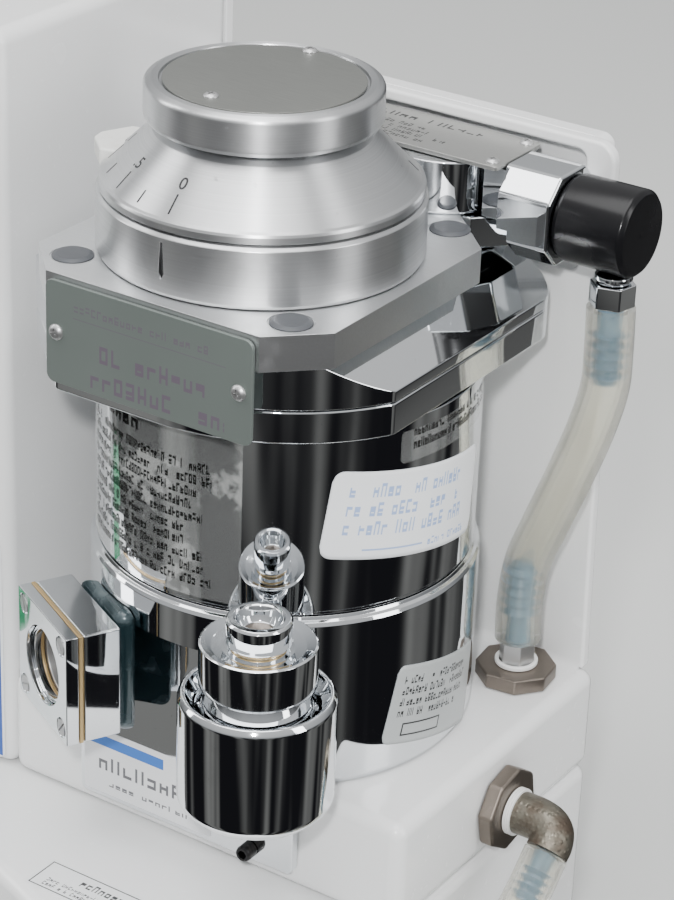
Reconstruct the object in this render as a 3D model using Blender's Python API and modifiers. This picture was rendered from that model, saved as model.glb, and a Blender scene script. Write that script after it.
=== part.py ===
"""Tabletop anesthesia machine: a white housing with a plug-in vaporizer, gas hoses and flow controls.

Units are metres, +Z is up and the front faces -Y. The origin is at the bottom centre of the whole object.
The vaporizer is laid out from its own axis on the shelf, so AXIS_X, AXIS_Y and SHELF_Z carry everything.
"""

import math

import bmesh
import bpy
from mathutils import Matrix, Vector
from mathutils.geometry import interpolate_bezier

MM = 0.001
GAP = 0.3 * MM
MERGE = 0.00005

# Where the vaporizer's axis and the shelf lie in the object's own frame.
AXIS_X = 60.25 * MM
AXIS_Y = 9.35 * MM
SHELF_Z = 101.1 * MM

# Housing, measured from the vaporizer's axis and the shelf top.
LEFT_X, TOWER_X, RIGHT_X = -217 * MM, -67 * MM, 70 * MM
FACE_Y, PANEL_Y, REAR_Y, POCKET_Y = -43 * MM, 61 * MM, 65 * MM, 69 * MM
DECK_LEFT_Y, DECK_RIGHT_Y = -82 * MM, -106 * MM
SWEEP_START_X, SWEEP_END_X = -60 * MM, 30 * MM
FOOT_FRONT_Y, FOOT_REAR_Y = -62 * MM, 45 * MM
BASE_Z, DECK_Z, PANEL_TOP_Z, TOWER_TOP_Z = -93 * MM, -33 * MM, 165.5 * MM, 196 * MM
WALL = 4 * MM
FOOT_RADIUS, FOOT_HEIGHT = 11 * MM, 5 * MM
PLATE = 2.5 * MM

# Vaporizer heights above the shelf.
SUMP_TOP_Z, JACKET_TOP_Z = 54 * MM, 109.3 * MM
FLANGE_JOINT_Z, FLANGE_TOP_Z, TOP_PLATE_Z = 119.2 * MM, 134.3 * MM, 144.5 * MM
COLLAR_TOP_Z, DIAL_TOP_Z = 161.6 * MM, 191.6 * MM
JACKET_RADIUS, SUMP_RADIUS, FLANGE_RADIUS = 54 * MM, 55.6 * MM, 60.2 * MM
FLANGE_Y = -2 * MM
HEAD_Y = -15.5 * MM
LEVER_ANGLE, LEVER_TOP_Z = math.radians(12), 167.6 * MM
COLLAR_RADIUS = 44.2 * MM
NOTCH_Z = 41 * MM

# Sight glass and filler stand off the sump to the left and right of the front.
SIGHT_ANGLE, FILLER_ANGLE = math.radians(-28), math.radians(29.6)
SIGHT_Z, SIGHT_HALF = 25.5 * MM, 17 * MM
FILLER_REACH = 75 * MM
FILLER_BOTTOM_Z = 8 * MM
DRAIN_X, DRAIN_Z, DRAIN_RADIUS = 22.9 * MM, -22.8 * MM, 2.4 * MM
APRON_LEFT_X, APRON_RIGHT_X, APRON_BOTTOM_Z = -38 * MM, 36.8 * MM, -26.5 * MM

# Gas manifold behind the head.
PORT_Y, PORT_Z = 47.5 * MM, 148.2 * MM
COUPLING_X, COUPLING_END_X = 35 * MM, 59.1 * MM
ADAPTOR_RADIUS, ADAPTOR_END_X = 12.4 * MM, 81.2 * MM

# Hoses.
HOSE_RADIUS = 6.9 * MM
HOSE_TOP = (73.8 * MM, 47 * MM, 125.2 * MM)
HOSE_FOOT = (52.6 * MM, 46.3 * MM, 13.6 * MM)
SIDE_Y, SIDE_Z = 10 * MM, -19 * MM
SIDE_NUT_X = 75.2 * MM
RETURN_Y, RETURN_Z = -78 * MM, -66 * MM
ELBOW_X, ELBOW_DROP = 90 * MM, 8 * MM

# Flow controls on the tower's front.
TUBE_X, KNOB_X = -166 * MM, -166 * MM
METER_BOTTOM_Z, METER_TOP_Z = 46 * MM, 166 * MM
KNOB_Z = 8 * MM
FLUSH_X, FLUSH_Z = -106 * MM, 8 * MM
BUTTON_RADIUS, BUTTON_HOLE = 11.4 * MM, 11.9 * MM
STEM_RADIUS, STEM_BORE, STEM_LENGTH = 4 * MM, 4.6 * MM, 7.3 * MM

COLOURS = {
    "white_plastic": ((0.86, 0.87, 0.88), 0.3, 0.0),
    "chrome": ((0.8, 0.8, 0.8), 0.06, 1.0),
    "aluminium": ((0.72, 0.73, 0.74), 0.28, 1.0),
    "black_plastic": ((0.02, 0.02, 0.022), 0.35, 0.0),
    "grey_label": ((0.34, 0.37, 0.36), 0.4, 0.5),
    "bronze": ((0.22, 0.19, 0.16), 0.35, 1.0),
    "brass": ((0.7, 0.5, 0.25), 0.35, 1.0),
    "blued_steel": ((0.05, 0.09, 0.11), 0.25, 0.8),
    "clear_plastic": ((0.85, 0.9, 0.9), 0.1, 0.0),
    "hose_plastic": ((0.85, 0.82, 0.68), 0.25, 0.0),
    "rubber": ((0.03, 0.03, 0.03), 0.8, 0.0),
    "steel": ((0.55, 0.55, 0.55), 0.35, 1.0),
    "wick_cloth": ((0.8, 0.78, 0.7), 0.9, 0.0),
    "green_plastic": ((0.05, 0.4, 0.2), 0.4, 0.0),
    "grey_plug": ((0.12, 0.13, 0.14), 0.45, 0.2),
}


def clear_scene():
    for obj in list(bpy.data.objects):
        bpy.data.objects.remove(obj)


def collection(name):
    made = bpy.data.collections.new(name)
    bpy.context.scene.collection.children.link(made)
    return made


def material(name):
    found = bpy.data.materials.get(name)
    if found:
        return found
    colour, roughness, metallic = COLOURS[name]
    made = bpy.data.materials.new(name)
    made.use_nodes = True
    shader = made.node_tree.nodes["Principled BSDF"]
    shader.inputs["Base Color"].default_value = (*colour, 1)
    shader.inputs["Roughness"].default_value = roughness
    shader.inputs["Metallic"].default_value = metallic
    return made


def place(x, y, z):
    """A point given from the vaporizer's axis and the shelf, in the object's frame."""
    return Vector((AXIS_X + x, AXIS_Y + y, SHELF_Z + z))


def along(direction, origin):
    """The matrix that turns local +Z to a direction and moves to an origin given from the vaporizer's axis."""
    turn = Vector((0, 0, 1)).rotation_difference(Vector(direction)).to_matrix().to_4x4()
    return Matrix.Translation(place(*origin)) @ turn


def facing(angle, reach, z):
    """The matrix of a piece that stands off the sump: local -Y points outward at an angle from the front."""
    outward = (math.sin(angle) * reach, -math.cos(angle) * reach, z)
    return Matrix.Translation(place(*outward)) @ Matrix.Rotation(angle, 4, "Z")


def add_node(name, mesh, look, matrix=None):
    obj = bpy.data.objects.new(name, mesh)
    obj.matrix_world = matrix or Matrix()
    if look is None:
        obj.hide_render = True
        obj.display_type = "WIRE"
        CUTTERS.objects.link(obj)
    else:
        mesh.materials.clear()
        mesh.materials.append(material(look))
        MACHINE.objects.link(obj)
    return obj


def bevel(obj, width, segments=2):
    made = obj.modifiers.new("edges", "BEVEL")
    made.width = width
    made.segments = segments
    made.limit_method = "ANGLE"
    made.angle_limit = math.radians(40)
    return obj


def cut(obj, cutter, operation="DIFFERENCE"):
    made = obj.modifiers.new("cut_by_" + cutter.name, "BOOLEAN")
    made.operation = operation
    made.object = cutter
    return obj


def box(name, low, high, look, edge=0.0, segments=2, matrix=None):
    """A box between two corners. Without a matrix the corners are given from the vaporizer's axis."""
    shape = bmesh.new()
    bmesh.ops.create_cube(shape, size=1)
    size = Vector(high) - Vector(low)
    centre = (Vector(high) + Vector(low)) / 2
    bmesh.ops.scale(shape, vec=size, verts=shape.verts)
    mesh = bpy.data.meshes.new(name)
    if matrix is None:
        home = Matrix.Translation(place(*centre))
    else:
        home = matrix @ Matrix.Translation(centre)
    shape.to_mesh(mesh)
    shape.free()
    obj = add_node(name, mesh, look, home)
    return bevel(obj, edge, segments) if edge else obj


def turned(name, profile, look, matrix, sides=40):
    """A turned solid from (radius, height) points that run from its top to its bottom, along local Z."""
    mesh = bpy.data.meshes.new(name)
    points = [(radius, 0, height) for radius, height in profile]
    mesh.from_pydata(points, [(i, i + 1) for i in range(len(points) - 1)], [])
    obj = add_node(name, mesh, look, matrix)
    spin = obj.modifiers.new("turn", "SCREW")
    spin.steps = spin.render_steps = sides
    spin.use_merge_vertices = True
    spin.merge_threshold = MERGE
    spin.use_smooth_shade = False
    return obj


def prism(name, outline, low, high, look, matrix, edge=0.0, segments=2):
    """A flat outline in local XY, extruded between two heights along local Z."""
    curve = bpy.data.curves.new(name + "_outline", "CURVE")
    curve.dimensions = "2D"
    curve.fill_mode = "BOTH"
    curve.extrude = (high - low) / 2
    line = curve.splines.new("POLY")
    line.points.add(len(outline) - 1)
    for point, (x, y) in zip(line.points, outline):
        point.co = (x, y, 0, 1)
    line.use_cyclic_u = True
    guide = bpy.data.objects.new(name + "_outline", curve)
    CUTTERS.objects.link(guide)
    bpy.context.view_layer.update()
    mesh = bpy.data.meshes.new_from_object(guide.evaluated_get(bpy.context.evaluated_depsgraph_get()))
    bpy.data.objects.remove(guide)
    shape = bmesh.new()
    shape.from_mesh(mesh)
    bmesh.ops.remove_doubles(shape, verts=shape.verts, dist=MERGE)
    bmesh.ops.dissolve_limit(shape, angle_limit=0.001, verts=shape.verts, edges=shape.edges)
    bmesh.ops.recalc_face_normals(shape, faces=shape.faces)
    bmesh.ops.translate(shape, vec=(0, 0, (low + high) / 2), verts=shape.verts)
    shape.to_mesh(mesh)
    shape.free()
    obj = add_node(name, mesh, look, matrix)
    return bevel(obj, edge, segments) if edge else obj


def arc(centre, radius, start, end, steps):
    """Points round a centre, from one angle to another in degrees."""
    turns = [math.radians(start + (end - start) * i / steps) for i in range(steps + 1)]
    return [(centre[0] + radius * math.cos(t), centre[1] + radius * math.sin(t)) for t in turns]


def rounded(low, high, radius, steps=4):
    """A rectangle's outline with round corners, anticlockwise."""
    (x0, y0), (x1, y1) = low, high
    return (
        arc((x1 - radius, y0 + radius), radius, -90, 0, steps)
        + arc((x1 - radius, y1 - radius), radius, 0, 90, steps)
        + arc((x0 + radius, y1 - radius), radius, 90, 180, steps)
        + arc((x0 + radius, y0 + radius), radius, 180, 270, steps)
    )


def regular(sides, across_flats):
    """A regular polygon's outline with a flat at the bottom."""
    radius = across_flats / 2 / math.cos(math.pi / sides)
    turns = [math.pi * (2 * i + 1) / sides - math.pi / 2 for i in range(sides)]
    return [(radius * math.cos(t), radius * math.sin(t)) for t in turns]


def smooth_route(points, per_span):
    """A smooth curve through the route's points, as a list of points along it."""
    route = [Vector(p) for p in points]
    ends = [route[0] * 2 - route[1]] + route + [route[-1] * 2 - route[-2]]
    found = []
    for i in range(1, len(route)):
        before, start, end, after = ends[i - 1 : i + 3]
        handles = (start, start + (end - before) / 6, end - (after - start) / 6, end)
        found += list(interpolate_bezier(*handles, per_span + 1))[:-1]
    return found + [route[-1]]


def tube(name, points, radius, look, resolution=3):
    """A round tube along points given from the vaporizer's axis."""
    curve = bpy.data.curves.new(name, "CURVE")
    curve.dimensions = "3D"
    curve.bevel_depth = radius
    curve.bevel_resolution = resolution
    curve.use_fill_caps = True
    line = curve.splines.new("POLY")
    line.points.add(len(points) - 1)
    for point, at in zip(line.points, points):
        point.co = (*place(*at), 1)
    obj = bpy.data.objects.new(name, curve)
    curve.materials.append(material(look))
    MACHINE.objects.link(obj)
    return obj


def build_housing():
    """The white mouldings: a base, a tower, a shelf, a back panel, and the covers that close them."""
    base = prism("base_housing", deck_outline(0), BASE_Z, DECK_Z - GAP, "white_plastic",
                 along((0, 0, 1), (0, 0, 0)), 3 * MM)
    hollow = prism("base_hollow", deck_outline(WALL), BASE_Z - WALL, DECK_Z - WALL, None,
                   along((0, 0, 1), (0, 0, 0)))
    cut(base, hollow)
    tower = box("tower_shell", (LEFT_X, FACE_Y, DECK_Z), (TOWER_X, REAR_Y - WALL, TOWER_TOP_Z),
                "white_plastic", 4 * MM)
    inside = (LEFT_X + WALL, FACE_Y + WALL, DECK_Z - WALL), (TOWER_X - WALL, REAR_Y, TOWER_TOP_Z - WALL)
    cut(tower, box("tower_hollow", *inside, None))
    for name, x, z, radius in (("stem_hole", KNOB_X, KNOB_Z, STEM_BORE),
                               ("button_hole", FLUSH_X, FLUSH_Z, BUTTON_HOLE)):
        hole = [(0, WALL * 2), (radius, WALL * 2), (radius, -WALL), (0, -WALL)]
        cut(tower, turned(name, hole, None, along((0, 1, 0), (x, FACE_Y, z)), 32))
    shelf_low, shelf_high = (TOWER_X + GAP, FACE_Y, DECK_Z), (RIGHT_X, REAR_Y, 0)
    shelf = box("shelf_housing", shelf_low, shelf_high, "white_plastic", 4 * MM)
    inside = (TOWER_X + WALL, FACE_Y + WALL, DECK_Z - WALL), (RIGHT_X - WALL, REAR_Y - WALL, -WALL)
    cut(shelf, box("shelf_hollow", *inside, None))
    upright = along((0, -1, 0), (0, 0, 0))
    panel = prism("back_panel", panel_outline(), -REAR_Y, -PANEL_Y, "white_plastic", upright, 1.2 * MM)
    bulge = rounded((-58 * MM, 122 * MM), (58 * MM, PANEL_TOP_Z - 1 * MM), 4 * MM, 3)
    cut(panel, prism("pocket_bulge", bulge, -POCKET_Y - WALL, -PANEL_Y - 1 * MM, None, upright), "UNION")
    pocket = rounded((-55 * MM, 126 * MM), (55 * MM, 162 * MM), 3 * MM, 2)
    cut(panel, prism("panel_pocket", pocket, -POCKET_Y, -PANEL_Y + WALL, None, upright))
    cover_low, cover_high = (LEFT_X + 1 * MM, REAR_Y - WALL + GAP, DECK_Z), (TOWER_X - 1 * MM, REAR_Y,
                                                                             TOWER_TOP_Z - 1 * MM)
    box("rear_cover", cover_low, cover_high, "white_plastic", 1 * MM)
    prism("base_plate", deck_outline(1 * MM), BASE_Z - PLATE - GAP, BASE_Z - GAP, "steel",
          along((0, 0, 1), (0, 0, 0)))
    foot_top = BASE_Z - PLATE - 2 * GAP
    foot = [(0, foot_top), (FOOT_RADIUS, foot_top), (FOOT_RADIUS - 1 * MM, foot_top - FOOT_HEIGHT),
            (0, foot_top - FOOT_HEIGHT)]
    for side, x in (("left", LEFT_X + 22 * MM), ("right", RIGHT_X - 22 * MM)):
        for end, y in (("front", FOOT_FRONT_Y), ("rear", FOOT_REAR_Y)):
            turned(f"foot_{end}_{side}", foot, "rubber", along((0, 0, 1), (x, y, 0)), 20)


def panel_outline():
    """The back panel's face: square to the tower on the left, leaning in a little on the right, with a round corner."""
    left, foot, head, corner = TOWER_X + GAP, 67.2 * MM, 64 * MM, 6 * MM
    top = arc((head - corner, PANEL_TOP_Z - corner), corner, 0, 90, 4)
    return [(left, GAP), (foot, GAP)] + top + [(left, PANEL_TOP_Z)]


def deck_outline(inset):
    """The base's plan: square at the back, with a front edge that sweeps forward under the vaporizer."""
    left, right = LEFT_X + inset, RIGHT_X - inset
    front = [(left, DECK_LEFT_Y + inset)]
    for i in range(11):
        t = i / 10
        sweep = (1 - math.cos(math.pi * t)) / 2
        x = SWEEP_START_X + (SWEEP_END_X - SWEEP_START_X) * t
        front.append((x, DECK_LEFT_Y + (DECK_RIGHT_Y - DECK_LEFT_Y) * sweep + inset))
    front.append((right, DECK_RIGHT_Y + inset))
    return front + [(right, REAR_Y - inset), (left, REAR_Y - inset)]


def build_flow_controls():
    """The flowmeter, its needle valve and knob, the flush button and the gas inlet at the back."""
    front = FACE_Y - GAP
    half = 14 * MM
    low, high = (TUBE_X - half, front - 20 * MM, METER_BOTTOM_Z), (TUBE_X + half, front, METER_TOP_Z)
    block = box("flowmeter_block", low, high, "clear_plastic", 1.5 * MM, 1)
    bore_at = (TUBE_X, front - 10 * MM, 0)
    bore = [(6.5 * MM, METER_TOP_Z - 12 * MM), (6.5 * MM, METER_BOTTOM_Z + 12 * MM)]
    window = box("meter_window", (TUBE_X - 6.5 * MM, front - 21 * MM, METER_BOTTOM_Z + 12 * MM),
                 (TUBE_X + 6.5 * MM, front - 3.5 * MM, METER_TOP_Z - 12 * MM), None)
    cut(block, window)
    bottom, top = bore[1][1] + GAP, bore[0][1] - GAP
    outer, inner = 6 * MM, 4.2 * MM
    glass = [(inner, top), (outer, top), (outer, bottom), (inner, bottom), (inner, top)]
    turned("flow_tube", glass, "clear_plastic", along((0, 0, 1), bore_at), 20)
    float_z = bottom + 1 * MM
    bobbin = [(0, 9 * MM), (3.6 * MM, 8 * MM), (3.6 * MM, 6.5 * MM), (2.2 * MM, 5 * MM), (2.2 * MM, 1.5 * MM),
              (0, 0)]
    turned("flow_float", bobbin, "black_plastic", along((0, 0, 1), (TUBE_X, front - 10 * MM, float_z)), 16)
    flange, body_radius, depth = 14 * MM, 9 * MM, 24 * MM
    valve_body = [(0, depth), (body_radius, depth), (body_radius, 3 * MM), (flange, 3 * MM), (flange, 0),
                  (STEM_BORE, 0), (STEM_BORE, depth / 2), (0, depth / 2)]
    start = FACE_Y + WALL + GAP
    turned("needle_valve", valve_body, "brass", along((0, 1, 0), (KNOB_X, start, KNOB_Z)), 16)
    stem = [(STEM_RADIUS, 0), (STEM_RADIUS, -STEM_LENGTH), (0, -STEM_LENGTH)]
    knob = [(0, 20 * MM), (13 * MM, 20 * MM), (14.5 * MM, 18.5 * MM), (14.5 * MM, 4 * MM), (10 * MM, 1 * MM),
            (10 * MM, 0)] + stem
    turned("flow_knob", knob, "green_plastic", along((0, -1, 0), (KNOB_X, front, KNOB_Z)), 24)
    button = [(0, 12 * MM), (10 * MM, 12 * MM), (BUTTON_RADIUS, 10.5 * MM), (BUTTON_RADIUS, 0)] + stem
    turned("flush_button", button, "green_plastic", along((0, -1, 0), (FLUSH_X, front, FLUSH_Z)), 24)
    turned("flush_valve", valve_body, "brass", along((0, 1, 0), (FLUSH_X, start, FLUSH_Z)), 16)
    inlet = [(0, 22 * MM), (6 * MM, 22 * MM), (6 * MM, 12 * MM), (8 * MM, 12 * MM), (8 * MM, 7 * MM),
             (12 * MM, 7 * MM), (12 * MM, 0), (0, 0)]
    turned("oxygen_inlet", inlet, "chrome", along((0, 1, 0), (-142 * MM, REAR_Y + GAP, 10 * MM)), 16)


def sump_clearance():
    """Cutters that keep fittings clear of the sump and of the mirror plate on its front."""
    reach = SUMP_RADIUS + GAP
    cylinder = [(0, SUMP_TOP_Z + 10 * MM), (reach, SUMP_TOP_Z + 10 * MM), (reach, -40 * MM), (0, -40 * MM)]
    rounds = turned("sump_space", cylinder, None, along((0, 0, 1), (0, 0, 0)), 64)
    low, high = (-60 * MM, FACE_Y - 3.6 * MM, -40 * MM), (60 * MM, 40 * MM, SUMP_TOP_Z + 10 * MM)
    flat = box("plate_space", low, high, None)
    return rounds, flat


def build_sump_and_jacket():
    """The chrome lower body, with a flat cut for the mirror plate, and the jacket above it."""
    shelf = along((0, 0, 1), (0, 0, 0))
    lip = 1.5 * MM
    sump_profile = [
        (0, SUMP_TOP_Z), (JACKET_RADIUS + 0.6 * MM, SUMP_TOP_Z), (SUMP_RADIUS, SUMP_TOP_Z - lip),
        (SUMP_RADIUS, lip + GAP), (SUMP_RADIUS - lip, GAP), (0, GAP),
    ]
    sump = turned("sump", sump_profile, "chrome", shelf, 64)
    low, high = (-70 * MM, -70 * MM, -5 * MM), (70 * MM, FACE_Y, NOTCH_Z)
    cut(sump, box("sump_notch", low, high, None))
    room = [(0, SUMP_TOP_Z + 1 * MM), (46 * MM, SUMP_TOP_Z + 1 * MM), (46 * MM, NOTCH_Z + 4 * MM),
            (34 * MM, NOTCH_Z + 4 * MM), (34 * MM, 6 * MM), (0, 6 * MM)]
    cut(sump, turned("sump_room", room, None, shelf, 40))
    bottom = SUMP_TOP_Z + GAP
    jacket = [(JACKET_RADIUS - 5 * MM, JACKET_TOP_Z), (JACKET_RADIUS, JACKET_TOP_Z), (JACKET_RADIUS, bottom),
              (JACKET_RADIUS - 5 * MM, bottom), (JACKET_RADIUS - 5 * MM, JACKET_TOP_Z)]
    turned("body_jacket", jacket, "chrome", shelf, 64)
    wick = [(28 * MM, 100 * MM), (31 * MM, 100 * MM), (31 * MM, 8 * MM), (28 * MM, 8 * MM),
            (28 * MM, 100 * MM)]
    turned("wick", wick, "wick_cloth", shelf, 24)
    strip = [(0, 103 * MM), (9 * MM, 103 * MM), (9 * MM, 86 * MM), (5 * MM, 84 * MM), (5 * MM, 60 * MM),
             (0, 60 * MM)]
    turned("bimetal_valve", strip, "brass", shelf, 16)
    upright = along((0, -1, 0), (0, 0, 0))
    plate = rounded((APRON_LEFT_X, APRON_BOTTOM_Z), (APRON_RIGHT_X, NOTCH_Z - GAP), 2 * MM)
    prism("apron_plate", plate, -FACE_Y + GAP, -FACE_Y + 3.3 * MM, "chrome", upright)


def flange_outline():
    """The flange's plan: a round front, flat right side, and a squarer left with a cut corner."""
    front = arc((0, FLANGE_Y), FLANGE_RADIUS, 270, 332.7, 12)
    back_right = arc((45.5 * MM, 46 * MM), 8 * MM, 0, 90, 4)
    back_left = arc((-50.5 * MM, 46 * MM), 8 * MM, 90, 180, 4)
    left = [(-58.5 * MM, -38.9 * MM), (-32.8 * MM, -62.2 * MM)]
    return front + back_right + back_left + left


def build_head():
    """Two chrome flanges, the aluminium top plate with its plugs, the fixed collar and the turning dial."""
    shelf = along((0, 0, 1), (0, 0, 0))
    prism("lower_flange", flange_outline(), JACKET_TOP_Z + GAP, FLANGE_JOINT_Z - GAP, "chrome", shelf,
          0.8 * MM, 1)
    upper = prism("upper_flange", flange_outline(), FLANGE_JOINT_Z, FLANGE_TOP_Z, "chrome", shelf)
    slope = math.radians(36.9)
    tilt = along((0, 0, 1), (53.5 * MM, 0, 122.2 * MM)) @ Matrix.Rotation(slope, 4, "Y")
    cut(upper, box("ledge_cut", (-40 * MM, -90 * MM, 0), (30 * MM, 90 * MM, 40 * MM), None, matrix=tilt))
    half, front, rear = 47.7 * MM, -64 * MM, 37 * MM
    near, far = 13.5 * MM, 17.5 * MM
    octagon = [
        (half - near, front), (half, front + near), (half, rear - far), (half - far, rear),
        (far - half, rear), (-half, rear - far), (-half, front + near), (near - half, front),
    ]
    top = prism("top_plate", octagon, FLANGE_TOP_Z + GAP, TOP_PLATE_Z, "aluminium", shelf, 0.6 * MM, 1)
    well = [(0, TOP_PLATE_Z + 9 * MM), (20 * MM, TOP_PLATE_Z + 9 * MM), (20 * MM, FLANGE_TOP_Z - 9 * MM),
            (0, FLANGE_TOP_Z - 9 * MM)]
    hole = turned("spindle_space", well, None, along((0, 0, 1), (0, HEAD_Y, 0)), 32)
    cut(top, hole)
    cut(upper, hole)
    crown, seat = TOP_PLATE_Z + 1.1 * MM, TOP_PLATE_Z + GAP
    plug = [(0, crown), (4.8 * MM, crown), (5.6 * MM, seat), (0, seat)]
    corners = {"front_left": (-35, -51.5), "front_right": (35, -51.5), "rear_left": (-33, 27),
               "rear_right": (33, 27)}
    for corner, (x, y) in corners.items():
        turned("plug_" + corner, plug, "grey_plug", along((0, 0, 1), (x * MM, y * MM, 0)), 20)
    upright = along((0, -1, 0), (0, 0, 0))
    label = rounded((-33.2 * MM, 113.8 * MM), (33.2 * MM, 143.2 * MM), 2.5 * MM, 3)
    prism("label_plate", label, -front + GAP, -front + 1.7 * MM, "grey_label", upright)
    bottom = TOP_PLATE_Z + GAP
    ring = [(34 * MM, COLLAR_TOP_Z), (COLLAR_RADIUS - 1 * MM, COLLAR_TOP_Z),
            (COLLAR_RADIUS, COLLAR_TOP_Z - 1 * MM),
            (COLLAR_RADIUS, bottom), (34 * MM, bottom), (34 * MM, COLLAR_TOP_Z)]
    turned("dial_collar", ring, "aluminium", along((0, 0, 1), (0, HEAD_Y, 0)), 64)


def build_dial():
    """The turning dial with its nameplate, spindle and rotary valve, and the lever that unlocks it."""
    head = along((0, 0, 1), (0, HEAD_Y, 0))
    bottom = COLLAR_TOP_Z + 0.5 * MM
    recess = DIAL_TOP_Z - 1 * MM
    dial = [
        (0, recess), (27.6 * MM, recess), (28.4 * MM, DIAL_TOP_Z), (30.4 * MM, DIAL_TOP_Z),
        (31.7 * MM, DIAL_TOP_Z - 1.4 * MM), (31.7 * MM, DIAL_TOP_Z - 10 * MM), (30.6 * MM,
                                                                                DIAL_TOP_Z - 10.8 * MM),
        (24 * MM, DIAL_TOP_Z - 11 * MM), (24 * MM, 179 * MM), (27 * MM, 178.8 * MM), (29.4 * MM, 178 * MM),
        (35.5 * MM, 171.5 * MM), (42.2 * MM, 165.4 * MM), (43.4 * MM, 164.8 * MM), (43.4 * MM, bottom), (0,
                                                                                                         bottom),
    ]
    body = turned("dial", dial, "aluminium", head, 64)
    slot_at = Matrix.Translation(place(0, HEAD_Y, 0)) @ Matrix.Rotation(LEVER_ANGLE, 4, "Z")
    slot_low, slot_high = (-48 * MM, -9.4 * MM, bottom - 2 * MM), (-29 * MM, 11.6 * MM, 170 * MM)
    cut(body, box("lever_slot", slot_low, slot_high, None, matrix=slot_at))
    thumb_tab = [(-33, 11), (-43.3, 11), (-49, 3), (-49, -1), (-43.5, -8.8), (-33, -8.8)]
    outline = [(x * MM, y * MM) for x, y in thumb_tab]
    prism("release_lever", outline, bottom + GAP, LEVER_TOP_Z, "white_plastic", slot_at, 1 * MM, 1)
    plate = [(0, DIAL_TOP_Z - 0.1 * MM), (26.8 * MM, DIAL_TOP_Z - 0.1 * MM), (26.8 * MM, recess + GAP),
             (0, recess + GAP)]
    turned("dial_nameplate", plate, "grey_label", head, 48)
    top = bottom - GAP
    spindle = [(0, top), (7 * MM, top), (7 * MM, 140 * MM), (0, 140 * MM)]
    turned("dial_spindle", spindle, "steel", head, 16)
    valve = [(0, 140 * MM - GAP), (17 * MM, 140 * MM - GAP), (17 * MM, 127 * MM), (0, 127 * MM)]
    turned("rotary_valve", valve, "steel", head, 24)


def build_sight_glass(spaces):
    """The square sight glass on the sump's left: saddle, box, gasket, bezel and the round glass."""
    at = facing(SIGHT_ANGLE, 0, SIGHT_Z)
    half = SIGHT_HALF
    saddle = box("sight_saddle", (-15 * MM, -58.6 * MM, -19 * MM), (15 * MM, -40 * MM, 19.5 * MM),
                 "blued_steel", 2 * MM, 2, at)
    for space in spaces:
        cut(saddle, space)
    block = box("sight_block", (-half, -70 * MM, -half), (half, -58.9 * MM, half), "chrome", 0.8 * MM, 2, at)
    box("sight_gasket", (-half, -71.2 * MM, -half), (half, -70.3 * MM, half), "brass", matrix=at)
    bezel = box("sight_bezel", (-half, -75.2 * MM, -half), (half, -71.5 * MM, half), "chrome", 0.8 * MM, 2,
                at)
    outward = at @ Matrix.Rotation(math.radians(90), 4, "X")
    port = [(0, 80 * MM), (11.5 * MM, 80 * MM), (11.5 * MM, 62 * MM), (0, 62 * MM)]
    window = turned("sight_port", port, None, outward, 32)
    for piece in (block, bezel, bpy.data.objects["sight_gasket"]):
        cut(piece, window)
    glass = [(0, 66 * MM), (11.2 * MM, 66 * MM), (11.2 * MM, 62.3 * MM), (0, 62.3 * MM)]
    turned("sight_glass", glass, "clear_plastic", outward, 32)


def build_filler(spaces):
    """The filler on the sump's right: a bowl, its screw cap, and the drain screw below."""
    at = facing(FILLER_ANGLE, FILLER_REACH, FILLER_BOTTOM_Z)
    outer, height, throat, bore = 21.3 * MM, 35.6 * MM, 15.2 * MM, 12.6 * MM
    ledge = height - 4.8 * MM
    bowl = [
        (bore, ledge), (throat, ledge), (19.8 * MM, height), (20.5 * MM, height), (outer, height - 1.2 * MM),
        (outer, 3 * MM), (outer - 3 * MM, 0), (0, 0), (0, 8 * MM), (bore, 8 * MM), (bore, ledge),
    ]
    cup = turned("filler_bowl", bowl, "chrome", at, 40)
    for space in spaces:
        cut(cup, space)
    seat, skirt, rim, top = ledge + GAP, 38 * MM, 50.7 * MM, 58.2 * MM
    knob, neck, body, stem = 8.9 * MM, 7 * MM, 16 * MM, 12 * MM
    cap = [
        (0, top - 1.4 * MM), (6.4 * MM, top - 1.4 * MM), (8 * MM, top), (knob, top - 1.2 * MM), (knob,
                                                                                                 53.2 * MM),
        (neck, 52.2 * MM), (neck, rim - 1 * MM), (body - 0.5 * MM, rim), (body, rim - 0.6 * MM), (body,
                                                                                                  skirt),
        (13.8 * MM, skirt), (13.8 * MM, seat), (stem, seat), (stem, 14 * MM), (0, 14 * MM),
    ]
    turned("filler_cap", cap, "chrome", at, 32)
    drain = [(0, 4 * MM), (DRAIN_RADIUS, 4 * MM), (DRAIN_RADIUS, 0), (0, 0)]
    turned("drain_screw", drain, "steel", along((0, -1, 0), (DRAIN_X, FACE_Y - 3.6 * MM, DRAIN_Z)), 16)


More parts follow.
